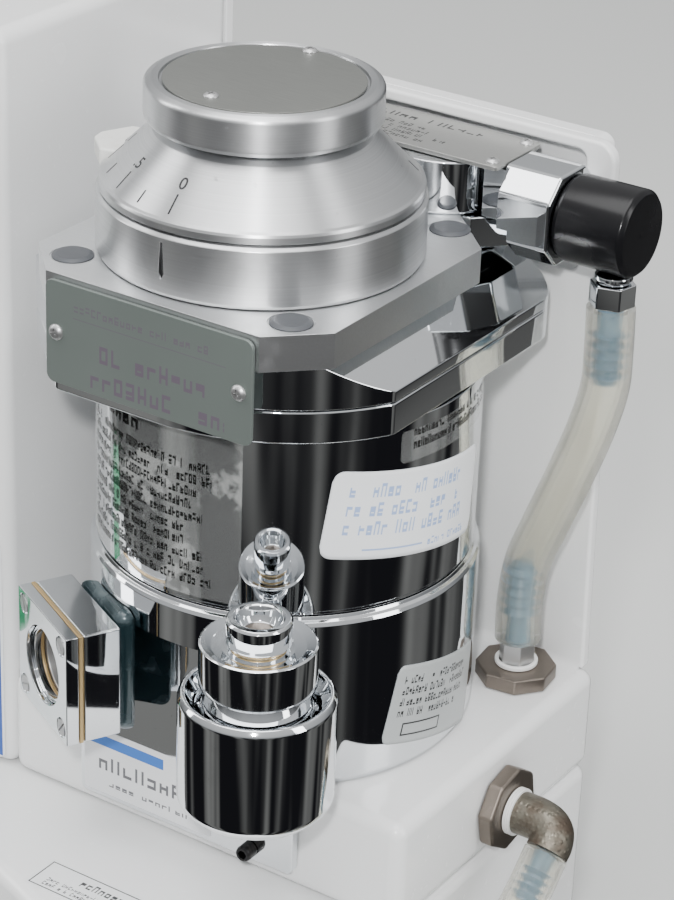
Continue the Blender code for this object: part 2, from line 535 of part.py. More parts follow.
def build_manifold():
    """The gas manifold behind the head, with octagonal couplings and the black taper adaptor at its right."""
    shelf = along((0, 0, 1), (0, 0, 0))
    rear = 59.6 * MM
    front, shoulder, end = 37.3 * MM, 53 * MM, 46 * MM
    plan = [(-33 * MM, front), (33 * MM, front), (end, shoulder), (end, rear), (-end, rear), (-end, shoulder)]
    prism("manifold_block", plan, FLANGE_TOP_Z + GAP, 144.2 * MM, "chrome", shelf, 0.6 * MM, 1)
    port = [(0, 160 * MM), (16.5 * MM, 160 * MM), (16.5 * MM, 144.5 * MM), (0, 144.5 * MM)]
    for side, x in (("right", 18.2 * MM), ("left", -18.2 * MM)):
        turned("port_housing_" + side, port, "chrome", along((0, 0, 1), (x, PORT_Y, 0)), 40)
    plate = rounded((-41.6 * MM, 35.3 * MM), (41.6 * MM, 59.8 * MM), 1 * MM, 2)
    prism("manifold_plate", plate, 160.3 * MM, 161.8 * MM, "grey_label", shelf)
    half, flat = 13 * MM, 6.7 * MM
    octagon = [(half, -flat), (half, flat), (flat, half), (-flat, half), (-half, flat), (-half, -flat),
               (-flat, -half),
               (flat, -half)]
    lift = along((1, 0, 0), (0, PORT_Y, PORT_Z))
    outlet = prism("outlet_coupling", octagon, COUPLING_X, COUPLING_END_X, "chrome", lift, 1 * MM, 1)
    inlet = prism("inlet_coupling", octagon, TOWER_X + GAP, -COUPLING_X, "chrome", lift, 1 * MM, 1)
    reliefs = (
        ("block_relief", (-46.4, 20, 120), (46.4, 70, 144.5)),
        ("plate_relief", (-42, 20, 159.6), (42, 70, 170)),
        ("front_relief", (-43, 20, 120), (43, 40, 170)),
    )
    for name, low, high in reliefs:
        relief = box(name, Vector(low) * MM, Vector(high) * MM, None)
        cut(outlet, relief)
        cut(inlet, relief)
    flare_x = COUPLING_END_X + GAP
    adaptor = [
        (0, ADAPTOR_END_X), (ADAPTOR_RADIUS - 0.6 * MM, ADAPTOR_END_X), (ADAPTOR_RADIUS,
                                                                         ADAPTOR_END_X - 0.6 * MM),
        (ADAPTOR_RADIUS, flare_x + 1 * MM), (ADAPTOR_RADIUS - 0.6 * MM, flare_x), (0, flare_x),
    ]
    turned("taper_adaptor", adaptor, "black_plastic", lift, 40)


def fitting(name, sides, across, low, high, look, matrix):
    return prism(name, regular(sides, across), low, high, look, matrix, 0.5 * MM, 1)


def build_hoses():
    """The clear hose from the adaptor down to the shelf, and the outlet hose round the base's right side."""
    x, y, z = HOSE_TOP
    adaptor_bottom = PORT_Z - ADAPTOR_RADIUS - 0.5 * MM
    neck = [(0, adaptor_bottom), (4.5 * MM, adaptor_bottom), (4.5 * MM, z + 8 * MM), (6.4 * MM, z + 8 * MM),
            (6.4 * MM, z + 3 * GAP), (0, z + 3 * GAP)]
    turned("hose_fitting_upper", neck, "steel", along((0, 0, 1), (x, y, 0)), 12)
    foot_x, foot_y, foot_z = HOSE_FOOT
    route = [
        HOSE_TOP,
        (74.2 * MM, 46.9 * MM, 112 * MM),
        (74 * MM, 46.8 * MM, 101 * MM),
        (70.7 * MM, 46.7 * MM, 86.9 * MM),
        (65.4 * MM, 46.6 * MM, 71 * MM),
        (58.8 * MM, 46.5 * MM, 53 * MM),
        (54.2 * MM, 46.4 * MM, 39.6 * MM),
        (52.5 * MM, 46.3 * MM, 26 * MM),
        HOSE_FOOT,
    ]
    tube("gas_hose", smooth_route(route, 2), HOSE_RADIUS, "hose_plastic")
    shelf = along((0, 0, 1), (foot_x, foot_y, 0))
    fitting("shelf_nut", 8, 22.4 * MM, GAP, 5 * MM, "bronze", shelf)
    top, shoulder, seat = foot_z - 2 * GAP, 8 * MM, 5 * MM + GAP
    stub = [(0, top), (6.2 * MM, top), (6.2 * MM, shoulder), (5 * MM, shoulder), (5 * MM, seat), (0, seat)]
    turned("hose_fitting_lower", stub, "steel", shelf, 12)
    side = along((1, 0, 0), (0, SIDE_Y, SIDE_Z))
    fitting("side_nut", 8, 23.6 * MM, RIGHT_X + GAP, SIDE_NUT_X, "bronze", side)
    start = SIDE_NUT_X + GAP
    drop = Vector((0, -0.75, -0.66)).normalized()
    corner = Vector((ELBOW_X, SIDE_Y, SIDE_Z))
    elbow_end = corner + drop * ELBOW_DROP
    inside = corner - Vector((1.5, 0, 0)) * MM + drop * 1.5 * MM
    bend = [(start, SIDE_Y, SIDE_Z), (ELBOW_X - 5 * MM, SIDE_Y, SIDE_Z), inside, corner + drop * 5 * MM,
            elbow_end]
    tube("side_elbow", bend, 6.3 * MM, "bronze")
    foot = Vector((ELBOW_X, RETURN_Y + 12 * MM, RETURN_Z))
    hose_start = elbow_end + drop * 2 * GAP
    loop = [hose_start, hose_start + drop * 16 * MM, (ELBOW_X, -38 * MM, -56 * MM),
            foot + Vector((0, 8, 0)) * MM, foot]
    tube("outlet_hose", smooth_route(loop, 4), HOSE_RADIUS - 0.4 * MM, "hose_plastic")
    turn = Vector((ELBOW_X, RETURN_Y, RETURN_Z))
    back = [foot - Vector((0, 1.5 * MM, 0)), turn + Vector((0, 5, 0)) * MM,
            turn + Vector((-1.5, 1.5, 0)) * MM,
            turn - Vector((5, 0, 0)) * MM, (RIGHT_X + 2 * GAP, RETURN_Y, RETURN_Z)]
    tube("return_elbow", back, 6.3 * MM, "bronze")


clear_scene()
MACHINE = collection("anesthesia_machine")
CUTTERS = collection("cutters")
build_housing()
build_flow_controls()
build_sump_and_jacket()
build_head()
build_dial()
clearances = sump_clearance()
build_sight_glass(clearances)
build_filler(clearances)
build_manifold()
build_hoses()
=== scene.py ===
"""Tabletop anesthesia machine: the finished pieces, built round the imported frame, and a plain studio.

Run it as a script. Lengths in the piece functions are millimetres, measured from the vaporizer's axis where
it meets the shelf: +X is the machine's right, +Y its back and +Z up. at() turns such a place into metres.
"""

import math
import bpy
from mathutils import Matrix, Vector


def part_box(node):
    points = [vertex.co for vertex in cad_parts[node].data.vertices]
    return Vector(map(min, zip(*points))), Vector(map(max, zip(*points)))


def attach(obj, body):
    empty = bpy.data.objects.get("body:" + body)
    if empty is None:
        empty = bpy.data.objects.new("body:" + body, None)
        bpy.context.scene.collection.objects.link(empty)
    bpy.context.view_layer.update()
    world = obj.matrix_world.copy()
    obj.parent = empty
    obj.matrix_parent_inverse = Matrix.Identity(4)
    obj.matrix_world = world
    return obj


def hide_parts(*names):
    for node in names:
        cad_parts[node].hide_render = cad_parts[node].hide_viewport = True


bl_info = {
    "name": "Anesthesia Machine",
    "version": (1, 0, 0),
    "blender": (4, 5, 0),
    "location": "3D View > Sidebar > Machine",
    "description": "Builds a tabletop anesthesia machine with its chrome vaporizer, hoses and flow controls",
    "category": "Object",
}

import bmesh
import bpy
from bpy.props import FloatProperty, FloatVectorProperty, IntProperty, PointerProperty
from mathutils import Matrix, Vector
from mathutils.geometry import interpolate_bezier

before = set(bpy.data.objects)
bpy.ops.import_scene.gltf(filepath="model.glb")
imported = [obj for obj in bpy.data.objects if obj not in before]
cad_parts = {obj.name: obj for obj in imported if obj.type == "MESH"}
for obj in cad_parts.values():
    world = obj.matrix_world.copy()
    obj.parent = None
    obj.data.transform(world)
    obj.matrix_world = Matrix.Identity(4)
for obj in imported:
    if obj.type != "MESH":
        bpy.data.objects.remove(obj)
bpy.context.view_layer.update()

MM = 0.001
MERGE = 1e-6
GAP = 0.3
UP, FRONT, BACK, RIGHT = (0, 0, 1), (0, -1, 0), (0, 1, 0), (1, 0, 0)
FINE_STEPS = 192
SEAM_ANGLE = 32

# Where the vaporizer stands, read from the frame.
JACKET_LOW, JACKET_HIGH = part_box("body_jacket")
AXIS_X, AXIS_Y = (JACKET_LOW.x + JACKET_HIGH.x) / 2, (JACKET_LOW.y + JACKET_HIGH.y) / 2
SHELF_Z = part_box("shelf_housing")[1].z

# Places that several pieces share, in millimetres from the vaporizer's axis and the shelf.
HEAD_Y = -15.5
FACE_Y, PANEL_Y, REAR_Y = -43, 61, 65
TOWER_X, SHELF_RIGHT_X, PANEL_TOP_Z = -67, 70, 165.5
LEFT_X, TOWER_TOP_Z, HOUSING_LOW_Z, DECK_Z = -217, 196, -33, -33.3
WALL, STICKER = 4, 0.12
SUMP_TOP, JACKET_TOP, FLANGE_JOINT, FLANGE_TOP, PLATE_TOP = 54, 109.3, 119.2, 134.3, 144.5
SUMP_CLEAR = 55.9
COLLAR_TOP, DIAL_TOP = 161.6, 191.6
CONE_TOP, CONE_FOOT = (29.4, 178.0), (42.2, 165.4)
SIGHT_ANGLE, FILLER_ANGLE = math.radians(-28), math.radians(29.6)
SIGHT_Z, FILLER_REACH, FILLER_Z = 25.5, 75, 8
PORT_Y, PORT_Z = 47.5, 148.2
KNOB_X, FLUSH_X, CONTROL_Z = -166, -106, 8
LEVER_ANGLE = math.radians(12)

BODY = "machine"


class MachineSizes(bpy.types.PropertyGroup):
    """Sizes that a user may change without moving a piece away from the frame."""

    moulding_edge: FloatProperty(
        name="Moulding edge", description="Radius of the white housing's outer edges",
        default=4.2 * MM, min=1 * MM, max=6 * MM, unit="LENGTH", precision=4)
    machined_edge: FloatProperty(
        name="Machined edge", description="Radius of the edges of turned and milled metal",
        default=0.3 * MM, min=0.05 * MM, max=1 * MM, unit="LENGTH", precision=5)
    hose_wall: FloatProperty(
        name="Hose wall", description="Thickness of the clear hoses' wall",
        default=2.1 * MM, min=1 * MM, max=3 * MM, unit="LENGTH", precision=4)
    turn_steps: IntProperty(
        name="Turning steps", description="Faces round a turned piece", default=144, min=48, max=256)


class MachineColours(bpy.types.PropertyGroup):
    """The colours of the machine's finishes."""

    housing: FloatVectorProperty(
        name="Housing", description="White moulded plastic", default=(0.87, 0.875, 0.875), subtype="COLOR")
    chrome: FloatVectorProperty(
        name="Chrome", description="Mirror plating", default=(0.76, 0.78, 0.8), subtype="COLOR")
    aluminium: FloatVectorProperty(
        name="Aluminium", description="Turned aluminium", default=(0.78, 0.79, 0.8), subtype="COLOR")
    plate: FloatVectorProperty(
        name="Plate", description="Printed label plates", default=(0.155, 0.18, 0.168), subtype="COLOR")
    hose: FloatVectorProperty(
        name="Hose", description="Clear hose that has yellowed", default=(0.97, 0.95, 0.83), subtype="COLOR")
    control: FloatVectorProperty(
        name="Controls", description="Flow knob and flush button", default=(0.03, 0.27, 0.12), subtype="COLOR")


class StudioSettings(bpy.types.PropertyGroup):
    """The studio's floor and lights."""

    floor: FloatVectorProperty(
        name="Floor", description="Plain floor", default=(0.62, 0.63, 0.62), subtype="COLOR")
    key_power: FloatProperty(name="Key light", description="Power of the overhead light", default=24, min=0)
    fill_power: FloatProperty(name="Fill lights", description="Power of the side lights", default=7, min=0)
    flash_power: FloatProperty(name="Flash", description="Power of the small front light", default=6.5, min=0)


def at(x, y, z):
    return Vector((AXIS_X + x * MM, AXIS_Y + y * MM, SHELF_Z + z * MM))


def place(x=0.0, y=0.0, z=0.0, direction=UP):
    """The matrix that moves a piece to a place and turns its +Z to a direction."""
    turn = Vector(UP).rotation_difference(Vector(direction)).to_matrix().to_4x4()
    return Matrix.Translation(at(x, y, z)) @ turn


UPRIGHT = place(direction=FRONT)
LEVER_PLACE = place(0, HEAD_Y) @ Matrix.Rotation(LEVER_ANGLE, 4, "Z")


def facing(angle, reach, z):
    """A place off the sump: local -Y points outward at an angle from the front."""
    spot = at(math.sin(angle) * reach, -math.cos(angle) * reach, z)
    return Matrix.Translation(spot) @ Matrix.Rotation(angle, 4, "Z")


def sizes():
    return bpy.context.scene.machine_sizes


def add(name, data, matrix=None):
    obj = bpy.data.objects.new(name, data)
    bpy.context.scene.collection.objects.link(obj)
    obj.matrix_world = matrix or Matrix()
    return obj


def shaped(name, shape, matrix=None, shade=True):
    """The object of a finished bmesh."""
    mesh = bpy.data.meshes.new(name)
    shape.to_mesh(mesh)
    shape.free()
    if shade:
        mesh.shade_smooth()
    return add(name, mesh, matrix)


def modify(obj, kind, **settings):
    made = obj.modifiers.new(kind.lower(), kind)
    for key, value in settings.items():
        setattr(made, key, value)
    return made


def settle(obj):
    """Applies a piece's modifiers and its place, so that its object sits at the origin."""
    bpy.context.view_layer.update()
    graph = bpy.context.evaluated_depsgraph_get()
    mesh = bpy.data.meshes.new_from_object(obj.evaluated_get(graph), depsgraph=graph)
    mesh.transform(obj.matrix_world)
    name = obj.name
    bpy.data.objects.remove(obj)
    mesh.name = name
    return add(name, mesh)


def smooth(obj, angle=SEAM_ANGLE):
    obj.data.shade_smooth()
    obj.data.set_sharp_from_angle(angle=math.radians(angle))
    return obj


def finish(obj, look, *nodes, body=BODY):
    """Settles a piece, gives it its look, and hands it to the frame in place of the nodes it stands for."""
    obj = settle(obj)
    obj.data.materials.clear()
    obj.data.materials.append(material(look))
    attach(obj, body)
    if nodes:
        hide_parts(*nodes)
    return obj


def edged(obj, width=None, segments=3, angle=35):
    """Rounds a piece's sharp edges and keeps its flat faces flat to the light."""
    modify(obj, "BEVEL", width=width or sizes().machined_edge, segments=segments, limit_method="ANGLE",
           angle_limit=math.radians(angle), use_clamp_overlap=True)
    modify(obj, "WEIGHTED_NORMAL", keep_sharp=True, weight=80)
    return obj


def carved(obj, *cutters, operation="DIFFERENCE"):
    """Cuts a piece with others, which are then removed."""
    for cutter in cutters:
        modify(obj, "BOOLEAN", object=cutter, operation=operation)
    obj = settle(obj)
    for cutter in cutters:
        bpy.data.objects.remove(cutter)
    return obj


def soften(points, radius, closed, segments=4):
    """Rounds an outline's corners. A point's third number is its own radius; a free end keeps its corner."""
    found = []
    last = len(points) - 1
    for i, point in enumerate(points):
        here = Vector(point[:2])
        wish = point[2] if len(point) > 2 else radius
        if wish <= 0 or (not closed and i in (0, last)):
            found.append(here)
            continue
        back = Vector(points[i - 1][:2]) - here
        on = Vector(points[(i + 1) % len(points)][:2]) - here
        bend = back.angle(on)
        if bend > math.radians(176):
            found.append(here)
            continue
        reach = min(wish / math.tan(bend / 2), 0.45 * back.length, 0.45 * on.length)
        start, end = here + back.normalized() * reach, here + on.normalized() * reach
        for step in range(segments + 1):
            t = step / segments
            found.append(start.lerp(here, t).lerp(here.lerp(end, t), t))
    return found


def turned(name, profile, matrix, radius=0.3, steps=None):
    """A turned piece from (radius, height) points, in millimetres, that run from its top to its bottom."""
    closed = profile[0][:2] == profile[-1][:2]
    line = soften(profile[:-1] if closed else profile, radius, closed)
    mesh = bpy.data.meshes.new(name)
    count = len(line)
    edges = [(i, (i + 1) % count) for i in range(count if closed else count - 1)]
    mesh.from_pydata([(r * MM, 0, z * MM) for r, z in line], edges, [])
    obj = add(name, mesh, matrix)
    steps = steps or sizes().turn_steps
    modify(obj, "SCREW", steps=steps, render_steps=steps, use_merge_vertices=True, merge_threshold=MERGE)
    return smooth(settle(obj))


def block(name, low, high, matrix=None):
    """A block between two corners in millimetres."""
    shape = bmesh.new()
    bmesh.ops.create_cube(shape, size=1)
    low, high = Vector(low), Vector(high)
    bmesh.ops.scale(shape, vec=(high - low) * MM, verts=shape.verts)
    bmesh.ops.translate(shape, vec=(high + low) / 2 * MM, verts=shape.verts)
    return shaped(name, shape, matrix or place())


def disc(radius, low, high):
    """The profile of a disc."""
    return [(0, high), (radius, high), (radius, low), (0, low)]


def hollow(inner, outer, low, high):
    """The closed profile of a ring."""
    return [(inner, high), (outer, high), (outer, low), (inner, low), (inner, high)]


def cylinder(radius, low, high, matrix, steps=64):
    """A plain cylinder, to cut another piece with."""
    return turned("cutter", disc(radius, low, high), matrix, 0.0, steps)


def prism(name, outline, low, high, matrix=None):
    """An outline in local XY, anticlockwise and in millimetres, carried from one height to another."""
    shape = bmesh.new()
    face = shape.faces.new([shape.verts.new((x * MM, y * MM, low * MM)) for x, y in outline])
    raised = bmesh.ops.extrude_face_region(shape, geom=[face])["geom"]
    moved = [v for v in raised if isinstance(v, bmesh.types.BMVert)]
    bmesh.ops.translate(shape, vec=(0, 0, (high - low) * MM), verts=moved)
    bmesh.ops.recalc_face_normals(shape, faces=shape.faces)
    return shaped(name, shape, matrix or place())


def arc(centre, radius, start, end, steps):
    turns = [math.radians(start + (end - start) * i / steps) for i in range(steps + 1)]
    return [(centre[0] + radius * math.cos(t), centre[1] + radius * math.sin(t)) for t in turns]


def rounded(low, high, radius, steps=8):
    """A rectangle's outline with round corners, anticlockwise."""
    (x0, y0), (x1, y1) = low, high
    return (
        arc((x1 - radius, y0 + radius), radius, -90, 0, steps)
        + arc((x1 - radius, y1 - radius), radius, 0, 90, steps)
        + arc((x0 + radius, y1 - radius), radius, 90, 180, steps)
        + arc((x0 + radius, y0 + radius), radius, 180, 270, steps)
    )


def regular(sides, across_flats, turn=0.0):
    radius = across_flats / 2 / math.cos(math.pi / sides)
    turns = [math.pi * (2 * i + 1) / sides - math.pi / 2 + turn for i in range(sides)]
    return [(radius * math.cos(t), radius * math.sin(t)) for t in turns]


def smooth_route(points, per_span):
    """Points along a smooth curve through a route."""
    route = [Vector(p) for p in points]
    ends = [route[0] * 2 - route[1]] + route + [route[-1] * 2 - route[-2]]
    found = []
    for i in range(1, len(route)):
        before, start, end, after = ends[i - 1:i + 3]
        handles = (start, start + (end - before) / 6, end - (after - start) / 6, end)
        found += list(interpolate_bezier(*handles, per_span + 1))[:-1]
    return found + [route[-1]]


def rod(name, points, radius, wall=0.0, round_resolution=7):
    """A round bar, or with a wall a hose, along points in millimetres."""
    curve = bpy.data.curves.new(name, "CURVE")
    curve.dimensions = "3D"
    curve.bevel_depth = (radius - wall / 2) * MM
    curve.bevel_resolution = round_resolution
    curve.use_fill_caps = not wall
    line = curve.splines.new("POLY")
    line.points.add(len(points) - 1)
    for point, spot in zip(line.points, points):
        point.co = (*at(*spot), 1)
    obj = settle(add(name, curve))
    modify(obj, "WELD", merge_threshold=MERGE)
    if wall:
        modify(obj, "SOLIDIFY", thickness=wall * MM, offset=0)
    return smooth(settle(obj), 40)


def copies(source, matrices, name):
    """One object that holds a copy of the source at each matrix. The source is removed."""
    shape = bmesh.new()
    for matrix in matrices:
        mesh = source.data.copy()
        mesh.transform(matrix)
        shape.from_mesh(mesh)
        bpy.data.meshes.remove(mesh)
    bpy.data.objects.remove(source)
    return smooth(shaped(name, shape))


def screws(name, matrices, radius, drive, height=None):
    """Screw heads at each matrix, whose +Z points out of the head. The drive is cross, slot or socket."""
    height = height or radius * 0.62
    sunk, above = -0.05, height + 1
    crowns = {
        "cross": [(radius * 0.62, height * 0.93, radius), (radius * 0.97, height * 0.35, radius * 0.4)],
        "slot": [(radius, height)],
        "socket": [(radius * 0.86, height), (radius, height * 0.8)],
    }
    head = [(0, height), *crowns[drive], (radius, sunk), (0, sunk)]
    source = turned("head", head, Matrix(), radius=0.12, steps=48)
    long, depth = radius * 0.55, height * 0.45
    if drive == "socket":
        cutters = [prism("cut", regular(6, radius * 1.05), height * 0.25, above, Matrix())]
    else:
        thin = radius * 0.11
        bars = [(long, thin), (thin, long)] if drive == "cross" else [(radius + 1, radius * 0.13)]
        cutters = [block("cut", (-x, -y, depth), (x, y, above), Matrix()) for x, y in bars]
    return copies(carved(source, *cutters), matrices, name)


class Value:
    """A shader socket in an expression: each operator adds its Math node."""

    def __init__(self, graph, socket):
        self.graph, self.socket = graph, socket

    def maths(self, operation, *inputs):
        return self.graph.maths(operation, *inputs)

    def __add__(self, other):
        return self.maths("ADD", self, other)

    def __sub__(self, other):
        return self.maths("SUBTRACT", self, other)

    def __rsub__(self, other):
        return self.maths("SUBTRACT", other, self)

    def __mul__(self, other):
        return self.maths("MULTIPLY", self, other)

    def __truediv__(self, other):
        return self.maths("DIVIDE", self, other)

    def __gt__(self, other):
        return self.maths("GREATER_THAN", self, other)

    def __lt__(self, other):
        return self.maths("LESS_THAN", self, other)

    __radd__ = __add__
    __rmul__ = __mul__


class Graph:
    """The nodes of one material, or of the world."""

    def __init__(self, name, shader="Principled BSDF"):
        self.material = bpy.data.materials.new(name) if isinstance(name, str) else name
        self.material.use_nodes = True
        self.tree = self.material.node_tree
        self.shader = self.tree.nodes[shader]
        self.coordinates = self.tree.nodes.new("ShaderNodeTexCoord")

    def node(self, kind, settings=None, inputs=None, output=0):
        """One output of a new node, made from its type, its settings and its sockets' values or links."""
        made = self.tree.nodes.new(kind)
        for key, value in (settings or {}).items():
            setattr(made, key, value)
        for key, value in (inputs or {}).items():
            self.feed(made.inputs[key], value)
        return Value(self, made.outputs[output])

    def feed(self, socket, value):
        if isinstance(value, Value):
            self.tree.links.new(value.socket, socket)
        else:
            socket.default_value = value

    def maths(self, operation, *inputs):
        return self.node("ShaderNodeMath", {"operation": operation}, dict(enumerate(inputs)))

    def where(self, output="Object", centre=None):
        """A coordinate, measured from a centre in metres if one is given."""
        spot = Value(self, self.coordinates.outputs[output])
        if centre is None:
            return spot
        return self.node("ShaderNodeVectorMath", {"operation": "SUBTRACT"}, {0: spot, 1: centre})

    def parts(self, vector):
        made = self.tree.nodes.new("ShaderNodeSeparateXYZ")
        self.feed(made.inputs[0], vector)
        return [Value(self, socket) for socket in made.outputs]

    def join(self, x, y, z):
        return self.node("ShaderNodeCombineXYZ", None, {0: x, 1: y, 2: z})

    def lines(self, path, scale, detail):
        """A noise that varies along one value only."""
        return self.node("ShaderNodeTexNoise", {"noise_dimensions": "1D"},
                         {"W": path, "Scale": scale, "Detail": detail})

    def noise(self, vector, scale, detail=2.0, rough=0.5):
        return self.node("ShaderNodeTexNoise", None,
                         {"Vector": vector, "Scale": scale, "Detail": detail, "Roughness": rough})

    def band(self, value, low, high):
        """0 below low and 1 above high, smoothly between."""
        return self.node("ShaderNodeMapRange", {"interpolation_type": "SMOOTHSTEP"},
                         {"Value": value, "From Min": low, "From Max": high})

    def mix(self, factor, first, second):
        """A colour between two colours, each a colour or a link."""
        made = self.tree.nodes.new("ShaderNodeMix")
        made.data_type = "RGBA"
        for socket, value in ((made.inputs[0], factor), (made.inputs[6], first), (made.inputs[7], second)):
            self.feed(socket, value if isinstance(value, (Value, float, int)) else (*value, 1))
        return Value(self, made.outputs[2])

    def bump(self, height, distance, strength=1.0):
        """Raises the surface by a height from 0 to 1 times a distance in metres."""
        self.feed(self.shader.inputs["Normal"],
                  self.node("ShaderNodeBump", None,
                            {"Height": height, "Distance": distance, "Strength": strength}))

    def set(self, **values):
        """Sets the shader's sockets: base_color=... feeds Base Color, and so on."""
        for key, value in values.items():
            socket = self.shader.inputs[key.replace("_", " ").title().replace("Ior", "IOR")]
            colour = socket.type == "RGBA" and not isinstance(value, Value)
            self.feed(socket, (*value, 1) if colour else value)
        return self


def panel_colour(name):
    return getattr(bpy.context.scene.machine_colours, name)


def scaled(colour, factor):
    return tuple(min(1, c * factor) for c in colour)


# The plain finishes. Each has a noise (scale, detail, roughness, and the ends of the band that it is cut to,
# or None), the two colours it mixes, its roughness and what the noise adds to it, a bump (scale, detail and
# distance in metres, or None), and the shader's constants. A name before two factors stands for one of the
# panel's colours.
NICKEL = ((120, 4, 0.6, (0.4, 0.68)), ((0.2, 0.185, 0.15), (0.11, 0.085, 0.065)))
PLAIN = {
    "float": ((200, 2, 0.5, None), ((0.01,) * 3, (0.03,) * 3), (0.35, 0), None, {}),
    "black_oxide": ((300, 3, 0.5, (0.5, 0.75)), ((0.015, 0.015, 0.016), (0.07, 0.065, 0.06)), (0.3, 0.2), None,
                    {"metallic": 0.7}),
    "dark_nickel": (*NICKEL, (0.26, 0.2), (700, 3, 0.00003), {"metallic": 0.85}),
    "rough_nickel": (*NICKEL, (0.4, 0.2), None, {"metallic": 0.85}),
    "brass": ((150, 4, 0.5, (0.42, 0.7)), ((0.78, 0.56, 0.27), (0.42, 0.3, 0.16)), (0.22, 0.25),
              (1400, 2, 0.00001), {"metallic": 1}),
    "saddle": ((90, 4, 0.5, (0.5, 0.75)), ((0.012, 0.03, 0.036), (0.09, 0.12, 0.13)), (0.2, 0.2),
               (500, 3, 0.00004), {"metallic": 0.35, "coat_weight": 0.5, "coat_roughness": 0.08}),
    "glass": ((160, 3, 0.5, (0.5, 0.8)), ((0.93, 0.95, 0.93), (0.8, 0.8, 0.72)), (0.02, 0.08), None,
              {"transmission_weight": 1, "ior": 1.48}),
    "acrylic": ((60, 3, 0.5, (0.5, 0.8)), ((0.96, 0.98, 0.98), (0.9, 0.93, 0.93)), (0.03, 0.06), None,
                {"transmission_weight": 0.96, "ior": 1.49}),
    "barb": ((180, 2, 0.5, None), ((0.06, 0.15, 0.25), (0.16, 0.28, 0.4)), (0.2, 0.2), None, {"coat_weight": 0.5}),
    "rubber": ((300, 3, 0.5, (0.5, 0.75)), ((0.018,) * 3, (0.07, 0.068, 0.064)), (0.72, 0.18),
               (900, 2, 0.00006), {}),
    "control": ((60, 3, 0.5, None), ("control", 0.8, 1.15), (0.22, 0.14), (900, 2, 0.00002),
                {"coat_weight": 0.3, "coat_roughness": 0.08}),
    "plug": ((130, 3, 0.5, None), ((0.05, 0.055, 0.062), (0.1, 0.105, 0.115)), (0.34, 0.2), (800, 2, 0.00003),
             {"metallic": 0.2}),
    "seal": ((300, 2, 0.5, None), ((0.8, 0.8, 0.78), (0.9, 0.9, 0.89)), (0.55, 0), None, {}),
    "lever": ((220, 4, 0.5, (0.5, 0.8)), ((0.8, 0.8, 0.77), (0.7, 0.69, 0.645)), (0.4, 0.2), None, {}),
    "ink": ((500, 2, 0.5, None), ((0.016, 0.016, 0.0176), (0.02, 0.02, 0.022)), (0.5, 0), None, {}),
    "white_ink": ((500, 2, 0.5, None), ((0.68,) * 3, (0.85,) * 3), (0.5, 0), None, {}),
}


def plain(look):
    """A finish from the table: one noise moves both its colour and its roughness."""
    (scale, detail, rough, band), colours, (roughness, more), grain, constants = PLAIN[look]
    if isinstance(colours[0], str):
        colours = [scaled(panel_colour(colours[0]), factor) for factor in colours[1:]]
    g = Graph(look)
    spot = g.where()
    drift = g.noise(spot, scale, detail, rough)
    if band:
        drift = g.band(drift, *band)
    g.set(base_color=g.mix(drift, *colours), roughness=roughness + more * drift if more else roughness,
          **constants)
    if grain:
        g.bump(g.noise(spot, *grain[:2]), grain[2])
    return g


def housing():
    """Glossy white moulding: a faint orange peel, fine dust, and a slow drift in tone."""
    g = Graph("housing")
    white = panel_colour("housing")
    spot = g.where()
    dust = g.band(g.noise(spot, 420, 3), 0.66, 0.78)
    drift = g.noise(spot, 9, 2)
    clean = g.mix(drift, scaled(white, 0.97), white)
    g.set(base_color=g.mix(dust * 0.16, clean, (0.5, 0.49, 0.46)),
          roughness=0.2 + 0.1 * g.noise(spot, 55) + dust * 0.2, coat_weight=0.35, coat_roughness=0.06, ior=1.49)
    g.bump(g.noise(spot, 650, 1), 0.00003, 0.5)
    return g


def chrome():
    """Mirror plating with finger smears, hairline scuffs and a slow ripple under the plate."""
    g = Graph("chrome")
    bright = panel_colour("chrome")
    spot = g.where()
    smear = g.band(g.noise(spot, 38, 4, 0.6), 0.52, 0.78)
    speck = g.band(g.noise(spot, 900, 2), 0.7, 0.78)
    g.set(base_color=g.mix(smear * 0.3 + speck * 0.4, bright, scaled(bright, 0.72)), metallic=1,
          roughness=0.035 + smear * 0.07 + speck * 0.15)
    g.bump(g.noise(spot, 26, 1), 0.00012, 0.25)
    return g


def turning(name, centre, pitch, groove, roughness, anisotropic):
    """Aluminium off the lathe: rings about a vertical axis, with handling marks that dull it in places."""
    g = Graph(name)
    bright = panel_colour("aluminium")
    spot = g.where("Object", centre)
    x, y, z = g.parts(spot)
    reach = g.maths("SQRT", x * x + y * y)
    path = reach - z * 1.3
    rings = g.lines(path, 1 / (pitch * MM), 3.0)
    worn = g.band(g.noise(spot, 30, 4, 0.6), 0.5, 0.75)
    marks = g.band(g.noise(spot, 260, 3), 0.68, 0.76)
    g.set(base_color=g.mix(rings * 0.55 + marks * 0.35, bright, scaled(bright, 0.66)), metallic=1,
          roughness=roughness + 0.1 * rings + 0.06 * worn + 0.1 * marks, anisotropic=anisotropic,
          anisotropic_rotation=0.25)
    g.bump(rings, groove * MM)
    return g


def head_aluminium():
    return turning("head_aluminium", at(0, HEAD_Y, 0), 0.9, 0.006, 0.31, 0.86)


def plate_aluminium():
    """Milled aluminium: fine straight lines along X."""
    g = Graph("plate_aluminium")
    bright = panel_colour("aluminium")
    spot = g.where()
    x, y, z = g.parts(spot)
    lines = g.noise(g.join(x * 60, y * 1800, z * 1800), 1, 2)
    worn = g.band(g.noise(spot, 45, 4, 0.6), 0.48, 0.75)
    g.set(base_color=g.mix(lines * 0.35 + worn * 0.2, scaled(bright, 1.05), scaled(bright, 0.7)), metallic=1,
          roughness=0.32 + 0.12 * worn + 0.08 * lines)
    g.bump(lines, 0.000012)
    return g


